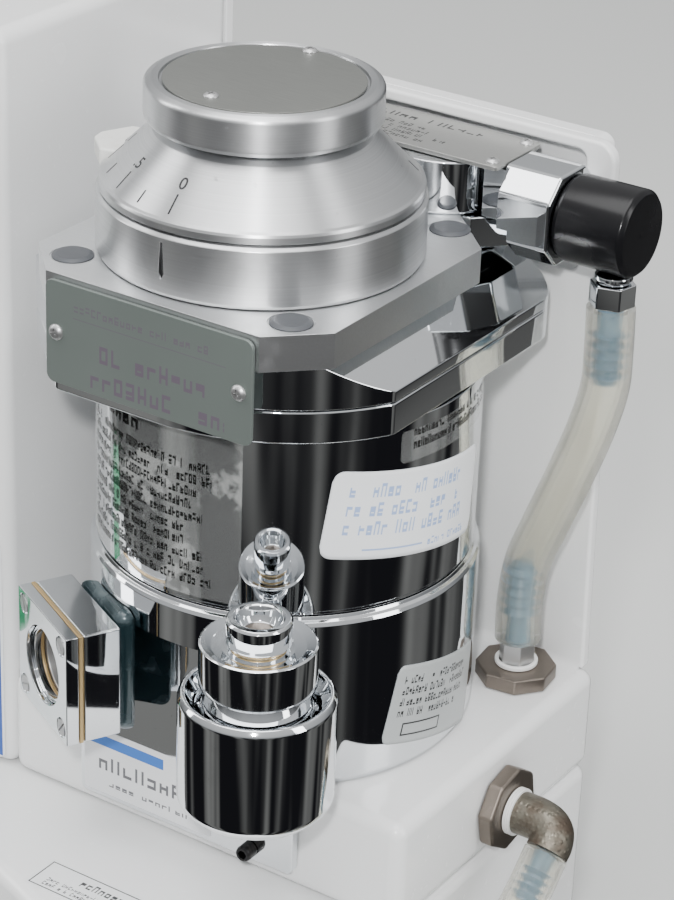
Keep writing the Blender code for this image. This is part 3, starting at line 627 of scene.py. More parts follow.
def lettering(g, u, v, box, line, pitch, seed=0.0):
    """A mask of rows of meaningless marks that stand for print, inside a box (low u, low v, high u, high v).

    Each cell of the pitch holds two stems and three bars, of which chance leaves some out.
    """
    low_u, low_v, high_u, high_v = box
    row, cell = g.maths("FLOOR", (v - low_v) / line), g.maths("FLOOR", (u - low_u) / pitch)

    def chance(kind):
        spot = g.join(cell, row, seed + kind)
        return g.node("ShaderNodeTexWhiteNoise", {"noise_dimensions": "3D"}, {"Vector": spot})

    length = g.node("ShaderNodeTexWhiteNoise", {"noise_dimensions": "2D"}, {"Vector": g.join(row, seed + 7, 0)})
    across, up = g.maths("FRACT", (u - low_u) / pitch), g.maths("FRACT", (v - low_v) / line)
    foot, stroke = 0.14, 0.16
    top = 0.66 + 0.2 * (chance(0.1) > 0.6)
    stems = (across < 0.34) * (chance(0.2) > 0.2) + (across > 0.68) * (chance(0.3) > 0.4)
    bars = (up < foot + stroke) * (chance(0.4) > 0.45) + (up > top - stroke) * (chance(0.5) > 0.4)
    bars = bars + (up > 0.36) * (up < 0.36 + stroke) * (chance(0.6) > 0.5)
    inside = (u > low_u) * (u < low_u + (high_u - low_u) * (0.8 + 0.2 * length)) * (v > low_v) * (v < high_v)
    cell_box = (across > 0.16) * (across < 0.86) * (up > foot) * (up < top) * (chance(0.7) > 0.15)
    return inside * cell_box * g.maths("MINIMUM", stems + bars, 1)


def frame_line(u, v, box, width):
    """A mask of a thin rectangle."""
    low_u, low_v, high_u, high_v = box
    outer = (u > low_u) * (u < high_u) * (v > low_v) * (v < high_v)
    inner = (u > low_u + width) * (u < high_u - width) * (v > low_v + width) * (v < high_v - width)
    return outer - inner


def flat_mm(g, axis_u, axis_v):
    """Two object coordinates in millimetres from the vaporizer's axis and the shelf."""
    spot = g.where("Object", at(0, 0, 0))
    scaled_spot = g.node("ShaderNodeVectorMath", {"operation": "SCALE"}, {0: spot, "Scale": 1 / MM})
    parts = g.parts(scaled_spot)
    return parts[axis_u], parts[axis_v]


def uv_mm(g):
    """A wrapped label's own coordinates in millimetres."""
    u, v, _ = g.parts(g.where("UV"))
    return u * 100, v * 100


def label_plate():
    """Satin grey-green plate with faint purple print: two wide rows, a rule, and a small row on top."""
    g = Graph("label_plate")
    plate = panel_colour("plate")
    u, v = flat_mm(g, 0, 2)
    large = lettering(g, u, v, (-16, 122.6, 24, 129.4), 6.8, 3.9, 1)
    large = large + lettering(g, u, v, (-19, 114.8, 25, 121.6), 6.8, 3.9, 3)
    small = lettering(g, u, v, (-24, 135.4, 28, 138.6), 3.2, 1.9, 2)
    rule = (u > -24) * (u < 25) * (v > 133.8) * (v < 134.1)
    spot = g.where()
    grain = g.noise(spot, 1500, 2)
    print_mask = large * 0.75 + small * 0.6 + rule * 0.5
    cloud = g.noise(spot, 30, 3)
    blank = g.mix(cloud, scaled(plate, 0.9), scaled(plate, 1.08))
    g.set(base_color=g.mix(print_mask, blank, (0.15, 0.105, 0.155)), metallic=0.4, roughness=0.38 + 0.1 * cloud)
    g.bump(grain, 0.000008)
    return g


def name_plate():
    """Pale anodised plate with black print."""
    g = Graph("name_plate")
    u, v = flat_mm(g, 0, 1)
    rows = lettering(g, u, v, (-36, 38.4, 22, 50.4), 3, 1.5, 4)
    rows = rows + lettering(g, u, v, (-34, 52.4, 38, 56.6), 4.2, 3.2, 5)
    brushed = g.noise(g.join(u * 0.4, v * 9, 0), 1, 2)
    g.set(base_color=g.mix(rows, g.mix(brushed, (0.36, 0.36, 0.35), (0.5, 0.5, 0.48)), (0.03, 0.03, 0.03)),
          metallic=0.8, roughness=0.3 + 0.08 * brushed)
    g.bump(g.noise(g.where(), 1200, 2), 0.000006)
    return g


def dial_disc():
    """Grey satin disc in the dial's knob, with faint straight drawing marks."""
    g = Graph("dial_disc")
    u, v = flat_mm(g, 0, 1)
    drawn = g.noise(g.join(u * 0.12, v * 2.2, 0), 1, 4)
    cloud = g.noise(g.where(), 26, 3)
    g.set(base_color=g.mix(drawn * 0.7 + cloud * 0.3, (0.19, 0.195, 0.185), (0.31, 0.315, 0.295)), metallic=0.7,
          roughness=0.3 + 0.12 * cloud)
    g.bump(drawn, 0.00002)
    return g


def adaptor():
    """Satin black moulding with fine rings and a polished rub."""
    g = Graph("adaptor")
    spot = g.where()
    rings = g.lines(g.parts(spot)[0], 1500.0, 1.0)
    rub = g.band(g.noise(spot, 50, 3), 0.5, 0.7)
    g.set(base_color=g.mix(rub * 0.5, (0.006, 0.006, 0.007), (0.016, 0.016, 0.017)),
          roughness=0.22 + 0.12 * rub, specular_ior_level=0.3)
    g.bump(rings, 0.00001)
    return g


def rough_nickel():
    """Cast elbow: raised dots in even rows."""
    g = plain("rough_nickel")
    dots = g.node("ShaderNodeTexVoronoi", {"feature": "F1"},
                  {"Vector": g.where(), "Scale": 620.0, "Randomness": 0.25})
    g.bump(1 - g.band(dots, 0.1, 0.5), 0.00012)
    return g


def hose():
    """Clear hose gone yellow: faint draw lines, and clouded in places."""
    g = Graph("hose")
    tint = panel_colour("hose")
    spot = g.where()
    cloud = g.noise(spot, 70, 3)
    g.set(base_color=g.mix(cloud, tint, scaled(tint, 0.93)), roughness=0.1 + 0.16 * cloud,
          transmission_weight=0.93, ior=1.3, alpha=0.5 + 0.2 * cloud)
    g.bump(g.noise(spot, 240, 2), 0.00005)
    return g


def steel():
    g = Graph("steel")
    spot = g.where()
    x, y, z = g.parts(spot)
    brushed = g.noise(g.join(x * 40, y * 1400, z * 1400), 1, 2)
    stain = g.band(g.noise(spot, 60, 4), 0.5, 0.75)
    g.set(base_color=g.mix(stain * 0.6, (0.58, 0.58, 0.57), (0.3, 0.28, 0.25)), metallic=1,
          roughness=0.24 + 0.12 * brushed + 0.14 * stain)
    g.bump(brushed, 0.00001)
    return g


def wick():
    """Woven cloth: crossed threads round the cylinder."""
    g = Graph("wick")
    x, y, z = g.parts(g.where("Object", at(0, 0, 0)))
    turn = g.maths("ARCTAN2", y, x)
    weave = g.maths("SINE", turn * 140) * g.maths("SINE", z * 4200)
    g.set(base_color=g.mix(0.5 + 0.5 * weave, (0.62, 0.6, 0.52), (0.84, 0.82, 0.74)),
          roughness=0.9 - 0.08 * weave)
    g.bump(weave, 0.0002)
    return g


def clear_label():
    """Clear film with small black print. The film catches the light in its creases."""
    g = Graph("clear_label")
    u, v = uv_mm(g)
    text = lettering(g, u, v, (4, 3, 58, 41), 3.8, 1.3, 21) + lettering(g, u, v, (4, 42.5, 34, 48.5), 6, 4, 22)
    film = g.noise(g.where(), 45, 4, 0.65)
    # Painted highlight: where the film creases it is made paler and more opaque, as if it caught the light; the
    # extra roughness there and the bump are real.
    crease_glint = g.band(film, 0.56, 0.62)
    g.set(base_color=g.mix(text, (0.7, 0.71, 0.69), (0.008, 0.008, 0.008)), roughness=0.1 + 0.2 * crease_glint,
          alpha=0.05 + 0.14 * crease_glint + 0.8 * text, coat_weight=0.4)
    g.bump(film, 0.0007, 0.6)
    return g


# The paper labels: two object axes, or None for the label's own coordinates; rows of marks as lettering()
# takes them; a frame and its width, or None; the strength of the print; the colours of the paper and the
# print; the roughness.
PAPERS = {
    "service_label": (None, [((5, 6.5, 50, 24), 5.6, 2.3, 11), ((34, 1.5, 52, 4.5), 3, 1.5, 12)],
                      ((12, 2.6, 32, 3.1), 0.25), 0.8, (0.86, 0.88, 0.9), (0.2, 0.34, 0.68), 0.32),
    "sump_label": (None, [((3, 8, 36, 22), 3.4, 1.25, 31)],
                   ((6, 2.4, 22, 6.4), 0.5), 1, (0.42, 0.44, 0.44), (0.03, 0.03, 0.03), 0.28),
    "deck_label": ((0, 1), [((-23, -83.6, 20, -79.4), 2.1, 1.1, 41), ((-14, -78.6, 12, -74.6), 4, 2.2, 42)],
                   ((-26.6, -84.6, 23.6, -72.9), 0.4), 1, (0.84, 0.85, 0.86), (0.04, 0.04, 0.04), 0.32),
    "panel_label": ((0, 2), [((-126, 26, -78, 38), 4, 2, 51), ((-126, -25, -80, -12), 3.2, 1.5, 52)],
                    ((-131, -30, -70.6, 42), 1.8), 1, (0.84, 0.86, 0.88), (0.02, 0.09, 0.4), 0.32),
    "apron_label": ((0, 2), [((-32, -18, 6, -11.5), 6.5, 4.4, 61), ((-28, -22.5, 6, -20), 2.5, 2.4, 62)],
                    None, 1, (0.82, 0.83, 0.85), (0.12, 0.12, 0.13), 0.32),
}


def paper(look):
    """A printed sticker from the table: paper that varies a little, print, and a few creases."""
    axes, rows, frame_box, strength, colour, print_colour, roughness = PAPERS[look]
    g = Graph(look)
    u, v = flat_mm(g, *axes) if axes else uv_mm(g)
    mask = lettering(g, u, v, *rows[0])
    for row in rows[1:]:
        mask = mask + lettering(g, u, v, *row)
    if frame_box:
        mask = mask + frame_line(u, v, *frame_box)
    spot = g.where()
    drift = g.noise(spot, 70, 3)
    g.set(base_color=g.mix(mask * strength, g.mix(drift, scaled(colour, 0.95), colour), print_colour),
          roughness=roughness + 0.1 * drift)
    g.bump(g.noise(spot, 110, 3), 0.00012, 0.5)
    return g


def apron_label():
    """White sticker with a plain blue stripe and two rows of marks."""
    g = paper("apron_label")
    u, v = flat_mm(g, 0, 2)
    stripe = (u > -35) * (u < -8) * (v > -9) * (v < -5.5)
    printed = Value(g, g.shader.inputs["Base Color"].links[0].from_socket)
    return g.set(base_color=g.mix(stripe, printed, (0.03, 0.16, 0.55)))


SPECIAL = {builder.__name__: builder for builder in (
    housing, chrome, head_aluminium, plate_aluminium, adaptor, label_plate, name_plate, dial_disc,
    rough_nickel, hose, steel, wick, clear_label, apron_label)}


def material(look):
    made = bpy.data.materials.get(look)
    if made:
        return made
    if look in SPECIAL:
        return SPECIAL[look]().material
    return (paper(look) if look in PAPERS else plain(look)).material


def dress(look, *nodes):
    """Gives CAD nodes that keep their own shape a finished material."""
    for node in nodes:
        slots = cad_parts[node].data.materials
        slots.clear()
        slots.append(material(look))


class MACHINE_OT_studio(bpy.types.Operator):
    """Make the floor, the soft lights and the camera."""

    bl_idname = "machine.studio"
    bl_label = "Studio"

    def execute(self, context):
        settings = context.scene.studio
        self.floor(settings)
        self.world(context.scene)
        middle = at(0, 0, 80)
        lights = [
            ("key", (-0.1, -0.25, 1.6), (1.3, 1.3), settings.key_power),
            ("left", (-1.3, -0.5, 0.75), (0.3, 1.2), settings.fill_power),
            ("right", (1.3, 0.1, 0.5), (0.35, 1.1), settings.fill_power),
            ("flash", (0.4, -0.68, 0.5), (0.05, 0.05), settings.flash_power),
        ]
        for name, offset, size, power in lights:
            data = bpy.data.lights.new(name, "AREA")
            data.shape, data.size, data.size_y, data.energy = "RECTANGLE", size[0], size[1], power
            obj = add(name, data)
            obj.location = middle + Vector(offset)
            obj.rotation_euler = Vector(offset).to_track_quat("Z", "Y").to_euler()
        self.camera(context.scene)
        return {"FINISHED"}

    @staticmethod
    def floor(settings):
        shape = bmesh.new()
        bmesh.ops.create_grid(shape, x_segments=2, y_segments=2, size=6)
        floor = shaped("floor", shape, Matrix.Translation((0, 0, -0.0002)), shade=False)
        floor.visible_glossy = False
        g = Graph("floor")
        g.set(base_color=tuple(settings.floor), roughness=0.7)
        floor.data.materials.append(g.material)

    @staticmethod
    def world(scene):
        """A dim room with a pale ceiling and uneven walls, so that plating has something to mirror."""
        world = bpy.data.worlds.new("studio")
        scene.world = world
        g = Graph(world, "Background")
        spot = g.where("Generated")
        x, y, z = g.parts(spot)
        reach = g.maths("SQRT", x * x + y * y) + 0.05
        walls = g.noise(g.join(x / reach, y / reach, z * 0.25), 2.3, 2)
        bright = g.band(walls, 0.42, 0.66)
        low = g.mix(bright, (0.01, 0.01, 0.012), (0.24, 0.24, 0.23))
        high = g.mix(g.band(z, 0.1, 0.9), (0.42, 0.43, 0.44), (0.9, 0.9, 0.9))
        g.feed(g.shader.inputs["Color"], g.mix(g.band(z, -0.12, 0.3), low, high))
        g.shader.inputs["Strength"].default_value = 1.0

    @staticmethod
    def camera(scene):
        """Looks down on the vaporizer from its right front."""
        data = bpy.data.cameras.new("camera")
        data.lens, data.sensor_width = 112.6, 36
        stand = (399.2, -586.9, 432.7)
        camera = add("camera", data)
        azimuth, elevation, roll = math.radians(33.1), math.radians(26.57), math.radians(2.17)
        level = math.cos(elevation)
        back = Vector((math.sin(azimuth) * level, -math.cos(azimuth) * level, math.sin(elevation)))
        side = (-back).cross(Vector(UP)).normalized()
        top = side.cross(-back)
        right = side * math.cos(roll) + top * math.sin(roll)
        up = top * math.cos(roll) - side * math.sin(roll)
        turn = Matrix((right, up, back)).transposed().to_4x4()
        camera.matrix_world = Matrix.Translation(at(*stand)) @ turn
        scene.camera = camera


def deck_outline(inset):
    """The base's plan: its front edge sweeps forward under the vaporizer."""
    left, right = LEFT_X + inset, SHELF_RIGHT_X - inset
    front_left, front_right, sweep_start, sweep_end, steps = -82, -106, -60, 30, 28
    front = [(left, front_left + inset)]
    for i in range(steps + 1):
        t = i / steps
        lean = (1 - math.cos(math.pi * t)) / 2
        front.append((sweep_start + (sweep_end - sweep_start) * t,
                      front_left + (front_right - front_left) * lean + inset))
    return front + [(right, front_right + inset), (right, REAR_Y - inset), (left, REAR_Y - inset)]


def cove(name, start, end, side, depth, radius=2.6):
    """A hollow fillet along an inside corner, between two places. side and depth point away from the corner."""
    start, end, side, depth = Vector(start), Vector(end), Vector(side), Vector(depth)
    centre = side * radius + depth * radius
    curve = [centre - side * radius * math.cos(t) - depth * radius * math.sin(t)
             for t in (math.radians(90 * i / 8) for i in range(9))]
    shape = bmesh.new()
    rings = []
    for spot in (start, end):
        rings.append([shape.verts.new((spot + p) * MM) for p in [Vector((0, 0, 0))] + curve])
    for i in range(len(rings[0])):
        j = (i + 1) % len(rings[0])
        shape.faces.new((rings[0][i], rings[0][j], rings[1][j], rings[1][i]))
    shape.faces.new(rings[0])
    shape.faces.new(rings[1])
    bmesh.ops.recalc_face_normals(shape, faces=shape.faces)
    return smooth(shaped(name, shape, place()), 30)


class MACHINE_OT_housing(bpy.types.Operator):
    """Mould the white housing: base, tower, shelf, back panel and rear cover."""

    bl_idname = "machine.housing"
    bl_label = "Housing"

    def execute(self, context):
        edge = sizes().moulding_edge
        base = edged(prism("base_moulding", deck_outline(0), -93, DECK_Z), edge, 6)
        room = prism("base_room", deck_outline(WALL), -96, DECK_Z - WALL)
        finish(smooth(carved(base, room)), "housing", "base_housing")
        holes = [cylinder(radius, -8, 8, place(x, FACE_Y, CONTROL_Z, BACK))
                 for x, radius in ((FLUSH_X, 11.9), (KNOB_X, 4.6))]
        tower = block("tower_moulding", (LEFT_X, FACE_Y, HOUSING_LOW_Z), (TOWER_X, PANEL_Y, TOWER_TOP_Z))
        tower = edged(tower, edge, 6)
        room = block("tower_room", (LEFT_X + WALL, FACE_Y + WALL, HOUSING_LOW_Z + WALL),
                     (TOWER_X - WALL, PANEL_Y + 5, TOWER_TOP_Z - WALL))
        finish(edged(carved(tower, room, *holes), 0.4 * MM, 2), "housing", "tower_shell")
        shelf = block("shelf_moulding", (TOWER_X + GAP, FACE_Y, HOUSING_LOW_Z), (SHELF_RIGHT_X, REAR_Y, 0))
        finish(edged(shelf, edge, 6), "housing", "shelf_housing")
        self.panel()
        self.covers()
        inner = TOWER_X + 0.1
        coves = (("tower_cove", (inner, PANEL_Y, 1), (inner, PANEL_Y, PANEL_TOP_Z - 1), RIGHT, FRONT),
                 ("panel_cove", (inner, PANEL_Y, 0), (66, PANEL_Y, 0), UP, FRONT),
                 ("shelf_cove", (inner, FACE_Y + 4, 0), (inner, PANEL_Y, 0), RIGHT, UP))
        for corner in coves:
            finish(cove(*corner), "housing")
        return {"FINISHED"}

    @staticmethod
    def panel():
        """The upright behind the vaporizer, with the pocket that the manifold reaches into."""
        corner = 6
        head = arc((64 - corner, PANEL_TOP_Z - corner), corner, 0, 90, 10)
        outline = [(TOWER_X + GAP, 0.3), (67.2, 0.3)] + head + [(TOWER_X + GAP, PANEL_TOP_Z)]
        panel = prism("panel_moulding", outline, -REAR_Y, -PANEL_Y, UPRIGHT)
        bulge = prism("bulge", rounded((-58, 122), (58, PANEL_TOP_Z - 1), 4), -73, -62, UPRIGHT)
        panel = carved(panel, bulge, operation="UNION")
        pocket = prism("pocket", rounded((-55, 126), (55, 162), 3), -69, -PANEL_Y + 4, UPRIGHT)
        panel = carved(panel, pocket)
        finish(edged(panel, 1.1 * MM, 4), "housing", "back_panel")

    @staticmethod
    def covers():
        """The rear cover with its vents and screws."""
        low, high = (LEFT_X + 1, PANEL_Y + GAP, HOUSING_LOW_Z), (TOWER_X - 1, REAR_Y, TOWER_TOP_Z - 1)
        slots = [prism("vent", rounded((-186, z), (-98, z + 5), 2.4), -70, -55, UPRIGHT)
                 for z in range(110, 160, 10)]
        cover = edged(carved(block("cover_moulding", low, high), *slots), 0.9 * MM, 3)
        finish(cover, "housing", "rear_cover")
        spots = [(x, z) for x in (-206, -78) for z in (-22, 81, 184)]
        heads = screws("cover_screws", [place(x, REAR_Y, z, BACK) for x, z in spots], 3.4, "cross", 1.8)
        finish(heads, "steel")


class MACHINE_OT_feet(bpy.types.Operator):
    """Turn the four rubber feet and dress the base plate."""

    bl_idname = "machine.feet"
    bl_label = "Feet and base plate"

    def execute(self, context):
        for side in ("left", "right"):
            for end in ("front", "rear"):
                node = f"foot_{end}_{side}"
                low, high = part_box(node)
                centre = (low + high) / 2
                height = (high.z - low.z) / MM
                profile = [(0, height), (11, height), (11, 1.6, 1.4), (10, 0, 0.5), (6.4, 0, 0.3),
                           (6, 0.7, 0.3), (0, 0.7)]
                stand = Matrix.Translation((centre.x, centre.y, low.z))
                finish(turned(node + "_rubber", profile, stand, 0.5, 64), "rubber", node)
        dress("steel", "base_plate")
        return {"FINISHED"}


class MACHINE_OT_body(bpy.types.Operator):
    """Turn the chrome sump and jacket, and cut the polished apron plate."""

    bl_idname = "machine.body"
    bl_label = "Sump, jacket and apron"

    def execute(self, context):
        sump = turned("sump_body", [
            (0, SUMP_TOP), (53.8, SUMP_TOP, 0.2), (54.2, SUMP_TOP - 0.9, 0.3), (55.0, SUMP_TOP - 1.4, 0.5),
            (55.6, SUMP_TOP - 2.4, 0.5), (55.6, 2.6, 0.8), (54.3, 0.4, 0.5), (0, 0.4)],
            place(), 0.3, FINE_STEPS)
        notch = block("notch", (-70, -70, -5), (70, FACE_Y, 41))
        above = SUMP_TOP + 1
        room = turned("room", [(0, above), (46, above), (46, 45), (34, 45), (34, 6), (0, 6)], place(), 0.0, 96)
        finish(smooth(edged(carved(sump, notch, room), 0.25 * MM, 2), 30), "chrome", "sump")
        low = SUMP_TOP + GAP
        jacket = turned("jacket_body", [
            (49, JACKET_TOP), (54, JACKET_TOP), (54, low + 1.2, 0.3), (53.5, low + 0.9, 0.2), (53.5, low, 0.2),
            (49, low), (49, JACKET_TOP)], place(), 0.3, FINE_STEPS)
        finish(jacket, "chrome", "body_jacket")
        plate = prism("apron", rounded((-38, -26.5), (36.8, 40.7), 2), -FACE_Y + GAP, -FACE_Y + 3.3, UPRIGHT)
        finish(edged(plate, 0.35 * MM), "chrome", "apron_plate")
        self.drain()
        dress("wick", "wick")
        dress("brass", "bimetal_valve")
        return {"FINISHED"}

    @staticmethod
    def drain():
        """The drain's socket screw, seated on the apron plate."""
        matrix = place(22.9, -46.6, -22.8, FRONT)
        head = screws("drain_socket", [matrix], 2.4, "socket", 4)
        finish(head, "black_oxide", "drain_screw", body="drain_screw")


def flange_outline(grow=0.0):
    """The flange's plan: round at the front, flat at the right, with a cut corner at the left front."""
    front = arc((0, -2), 60.2 + grow, 270, 332.7, 40)
    back_right = arc((45.5, 46), 8, 0, 90, 10)
    back_left = arc((-50.5, 46), 8, 90, 180, 10)
    return front + back_right + back_left + [(-58.5, -38.9), (-32.8, -62.2)]


class MACHINE_OT_flanges(bpy.types.Operator):
    """Cut the two chrome flanges, the top plate with its plugs, and the label plate."""

    bl_idname = "machine.flanges"
    bl_label = "Flanges and plates"

    def execute(self, context):
        lower = prism("flange_lower", flange_outline(), JACKET_TOP + GAP, FLANGE_JOINT - GAP)
        finish(edged(lower, 0.7 * MM), "chrome", "lower_flange")
        ledge = Matrix.Translation(at(53.5, 0, 122.2)) @ Matrix.Rotation(math.radians(36.9), 4, "Y")
        upper = prism("flange_upper", flange_outline(), FLANGE_JOINT, FLANGE_TOP)
        well = self.well()
        upper = carved(upper, block("ledge", (-40, -90, 0), (30, 90, 40), ledge), well)
        finish(edged(upper, 0.35 * MM), "chrome", "upper_flange")
        self.top_plate()
        self.label()
        return {"FINISHED"}

    @staticmethod
    def well():
        return cylinder(20, FLANGE_TOP - 9, PLATE_TOP + 9, place(0, HEAD_Y))

    def top_plate(self):
        half, front, rear, near, far = 47.7, -64, 37, 13.5, 17.5
        octagon = [(half - near, front), (half, front + near), (half, rear - far), (half - far, rear),
                   (far - half, rear), (-half, rear - far), (-half, front + near), (near - half, front)]
        seats = [(-35, -51.8), (35.2, -51.8), (-33, 27), (33.4, 26.4)]
        nodes = ("plug_front_left", "plug_front_right", "plug_rear_left", "plug_rear_right")
        cutters = [cylinder(6.1, -0.25, 6, place(x, y, PLATE_TOP), 48) for x, y in seats]
        plate = carved(prism("top_plate_milled", octagon, FLANGE_TOP + GAP, PLATE_TOP), self.well(), *cutters)
        finish(edged(plate, 0.5 * MM), "plate_aluminium", "top_plate")
        profile = [(0, 0.75), (4.4, 0.75, 1.2), (5.7, 0.15, 0.5), (5.7, -0.2), (0, -0.2)]
        for node, (x, y) in zip(nodes, seats):
            finish(turned(node + "_cap", profile, place(x, y, PLATE_TOP), 0.3, 64), "plug", node)

    @staticmethod
    def label():
        plate = prism("label_plate_printed", rounded((-33.2, 113.8), (33.2, 143.2), 2.5), 64.3, 65.5, UPRIGHT)
        finish(edged(plate, 0.25 * MM, 2), "label_plate", "label_plate")
        spots = [place(x, -65.5, z, FRONT) for x, z in ((-29.6, 128.6), (29.2, 128.2))]
        finish(screws("label_screws", spots, 2.3, "cross", 1.3), "steel")


def on_cone(angle, down, lift=0.0):
    """A place on the dial's cone: an angle from the front towards the left, and millimetres down its slope."""
    slope = Vector((CONE_FOOT[0] - CONE_TOP[0], CONE_FOOT[1] - CONE_TOP[1])).normalized()
    reach = CONE_TOP[0] + slope.x * down - slope.y * lift
    height = CONE_TOP[1] + slope.y * down + slope.x * lift
    return Vector((-math.sin(angle) * reach, HEAD_Y - math.cos(angle) * reach, height))


def cone_patch(obj, angle, down):
    """Wraps a flat shape onto the cone: its local X runs round the dial to the right and its Y up the slope."""
    for vertex in obj.data.vertices:
        x, y, z = vertex.co / MM
        reach = CONE_TOP[0] + (down - y) * 0.71
        vertex.co = at(*on_cone(angle - x / reach, down - y, z))
    obj.matrix_world = Matrix()
    return obj


class MACHINE_OT_dial(bpy.types.Operator):
    """Turn the collar and the dial, and engrave the dial's scale."""

    bl_idname = "machine.dial"
    bl_label = "Dial"

    def execute(self, context):
        head = place(0, HEAD_Y)
        collar = turned("collar_turned", [
            (34, COLLAR_TOP), (43.2, COLLAR_TOP, 0.2), (44.2, COLLAR_TOP - 0.8, 0.5),
            (44.2, PLATE_TOP + 1.3, 0.6), (43.6, PLATE_TOP + GAP), (34, PLATE_TOP + GAP), (34, COLLAR_TOP)],
            head, 0.25, FINE_STEPS)
        wedge = [(-0.8, 151), (0, 149.4), (0.8, 151), (0.35, 159.6), (-0.35, 159.6)]
        groove = prism("groove", wedge, 59, 61, UPRIGHT)
        finish(edged(carved(collar, groove), 0.12 * MM, 2), "head_aluminium", "dial_collar")
        finish(prism("index_mark", wedge, 58.6, 59.2, UPRIGHT), "ink")
        self.dial(head)
        self.scale()
        self.nameplate(head)
        self.lever()
        dress("steel", "dial_spindle", "rotary_valve")
        return {"FINISHED"}

    @staticmethod
    def dial(head):
        top = DIAL_TOP
        profile = [
            (0, top - 1), (27.5, top - 1), (27.7, top - 0.1, 0.15), (29.6, top, 1.2), (31.7, top - 0.8, 1.9),
            (31.7, top - 9.4, 1.0), (30.7, top - 10.8, 0.8), (24, top - 11, 0.4), (24, 179, 0.3),
            (27.2, 178.8, 0.4), (*CONE_TOP, 0.9), (*CONE_FOOT, 0.7), (43.1, 165.0, 0.5), (43.4, 164.2, 0.4),
            (43.4, 162.5, 0.4), (42.6, COLLAR_TOP + 0.5), (0, COLLAR_TOP + 0.5)]
        body = turned("dial_turned", profile, head, 0.25, 256)
        body = carved(body, block("slot", (-48, -9.4, 160), (-29, 11.6, 170), LEVER_PLACE))
        finish(edged(body, 0.2 * MM, 2, 50), "head_aluminium", "dial", body="dial")

    @staticmethod
    def scale():
        """Engraved ticks from 0 round to the left, with a number at each second tick."""
        step, labels = math.radians(15.5), ("0", ".5", "1", "1.5", "2", "3", "4", "5")
        marks = bmesh.new()
        for i in range(2 * len(labels)):
            labelled = i % 2 == 0
            tick = block("tick", (-0.25, -16.6, -0.35), (0.25, -10.8 if labelled else -12.8, 0.05), Matrix())
            modify(tick, "SUBSURF", subdivision_type="SIMPLE", levels=2, render_levels=2)
            pieces = [cone_patch(settle(tick), step * i, 0)]
            if labelled:
                pieces.append(cone_patch(MACHINE_OT_dial.number(labels[i // 2]), step * i, 7.8))
            for piece in pieces:
                marks.from_mesh(piece.data)
                bpy.data.objects.remove(piece)
        finish(shaped("dial_scale", marks, shade=False), "ink", body="dial")

    @staticmethod
    def number(text):
        data = bpy.data.curves.new("number", "FONT")
        data.body, data.size, data.extrude = text, 4.9 * MM, 0.2 * MM
        data.align_x, data.align_y, data.offset = "CENTER", "CENTER", 0.05 * MM
        data.resolution_u = 4
        obj = settle(add("number", data, Matrix.Translation((0, 0, -0.16 * MM))))
        shape = bmesh.new()
        shape.from_mesh(obj.data)
        bmesh.ops.remove_doubles(shape, verts=shape.verts, dist=MERGE)
        bmesh.ops.recalc_face_normals(shape, faces=shape.faces)
        shape.to_mesh(obj.data)
        shape.free()
        return obj

    @staticmethod
    def nameplate(head):
        top = DIAL_TOP - 0.1
        plate = turned("dial_disc", disc(26.8, top - 0.6, top), head, 0.15, FINE_STEPS)
        finish(plate, "dial_disc", "dial_nameplate", body="dial")
        spots = [(-2.4, -35.8), (-3.2, 9.8)]
        heads = screws("dial_screws", [place(x, y, top) for x, y in spots], 2.1, "cross", 1.0)
        finish(heads, "steel", body="dial")

    @staticmethod
    def lever():
        outline = [(-33, 11), (-43.3, 11), (-49, 3), (-49, -1), (-43.5, -8.8), (-33, -8.8)]
        tab = prism("lever_tab", outline, 162.4, 167.6, LEVER_PLACE)
        finish(edged(tab, 0.7 * MM, 4), "lever", "release_lever", body="release_lever")


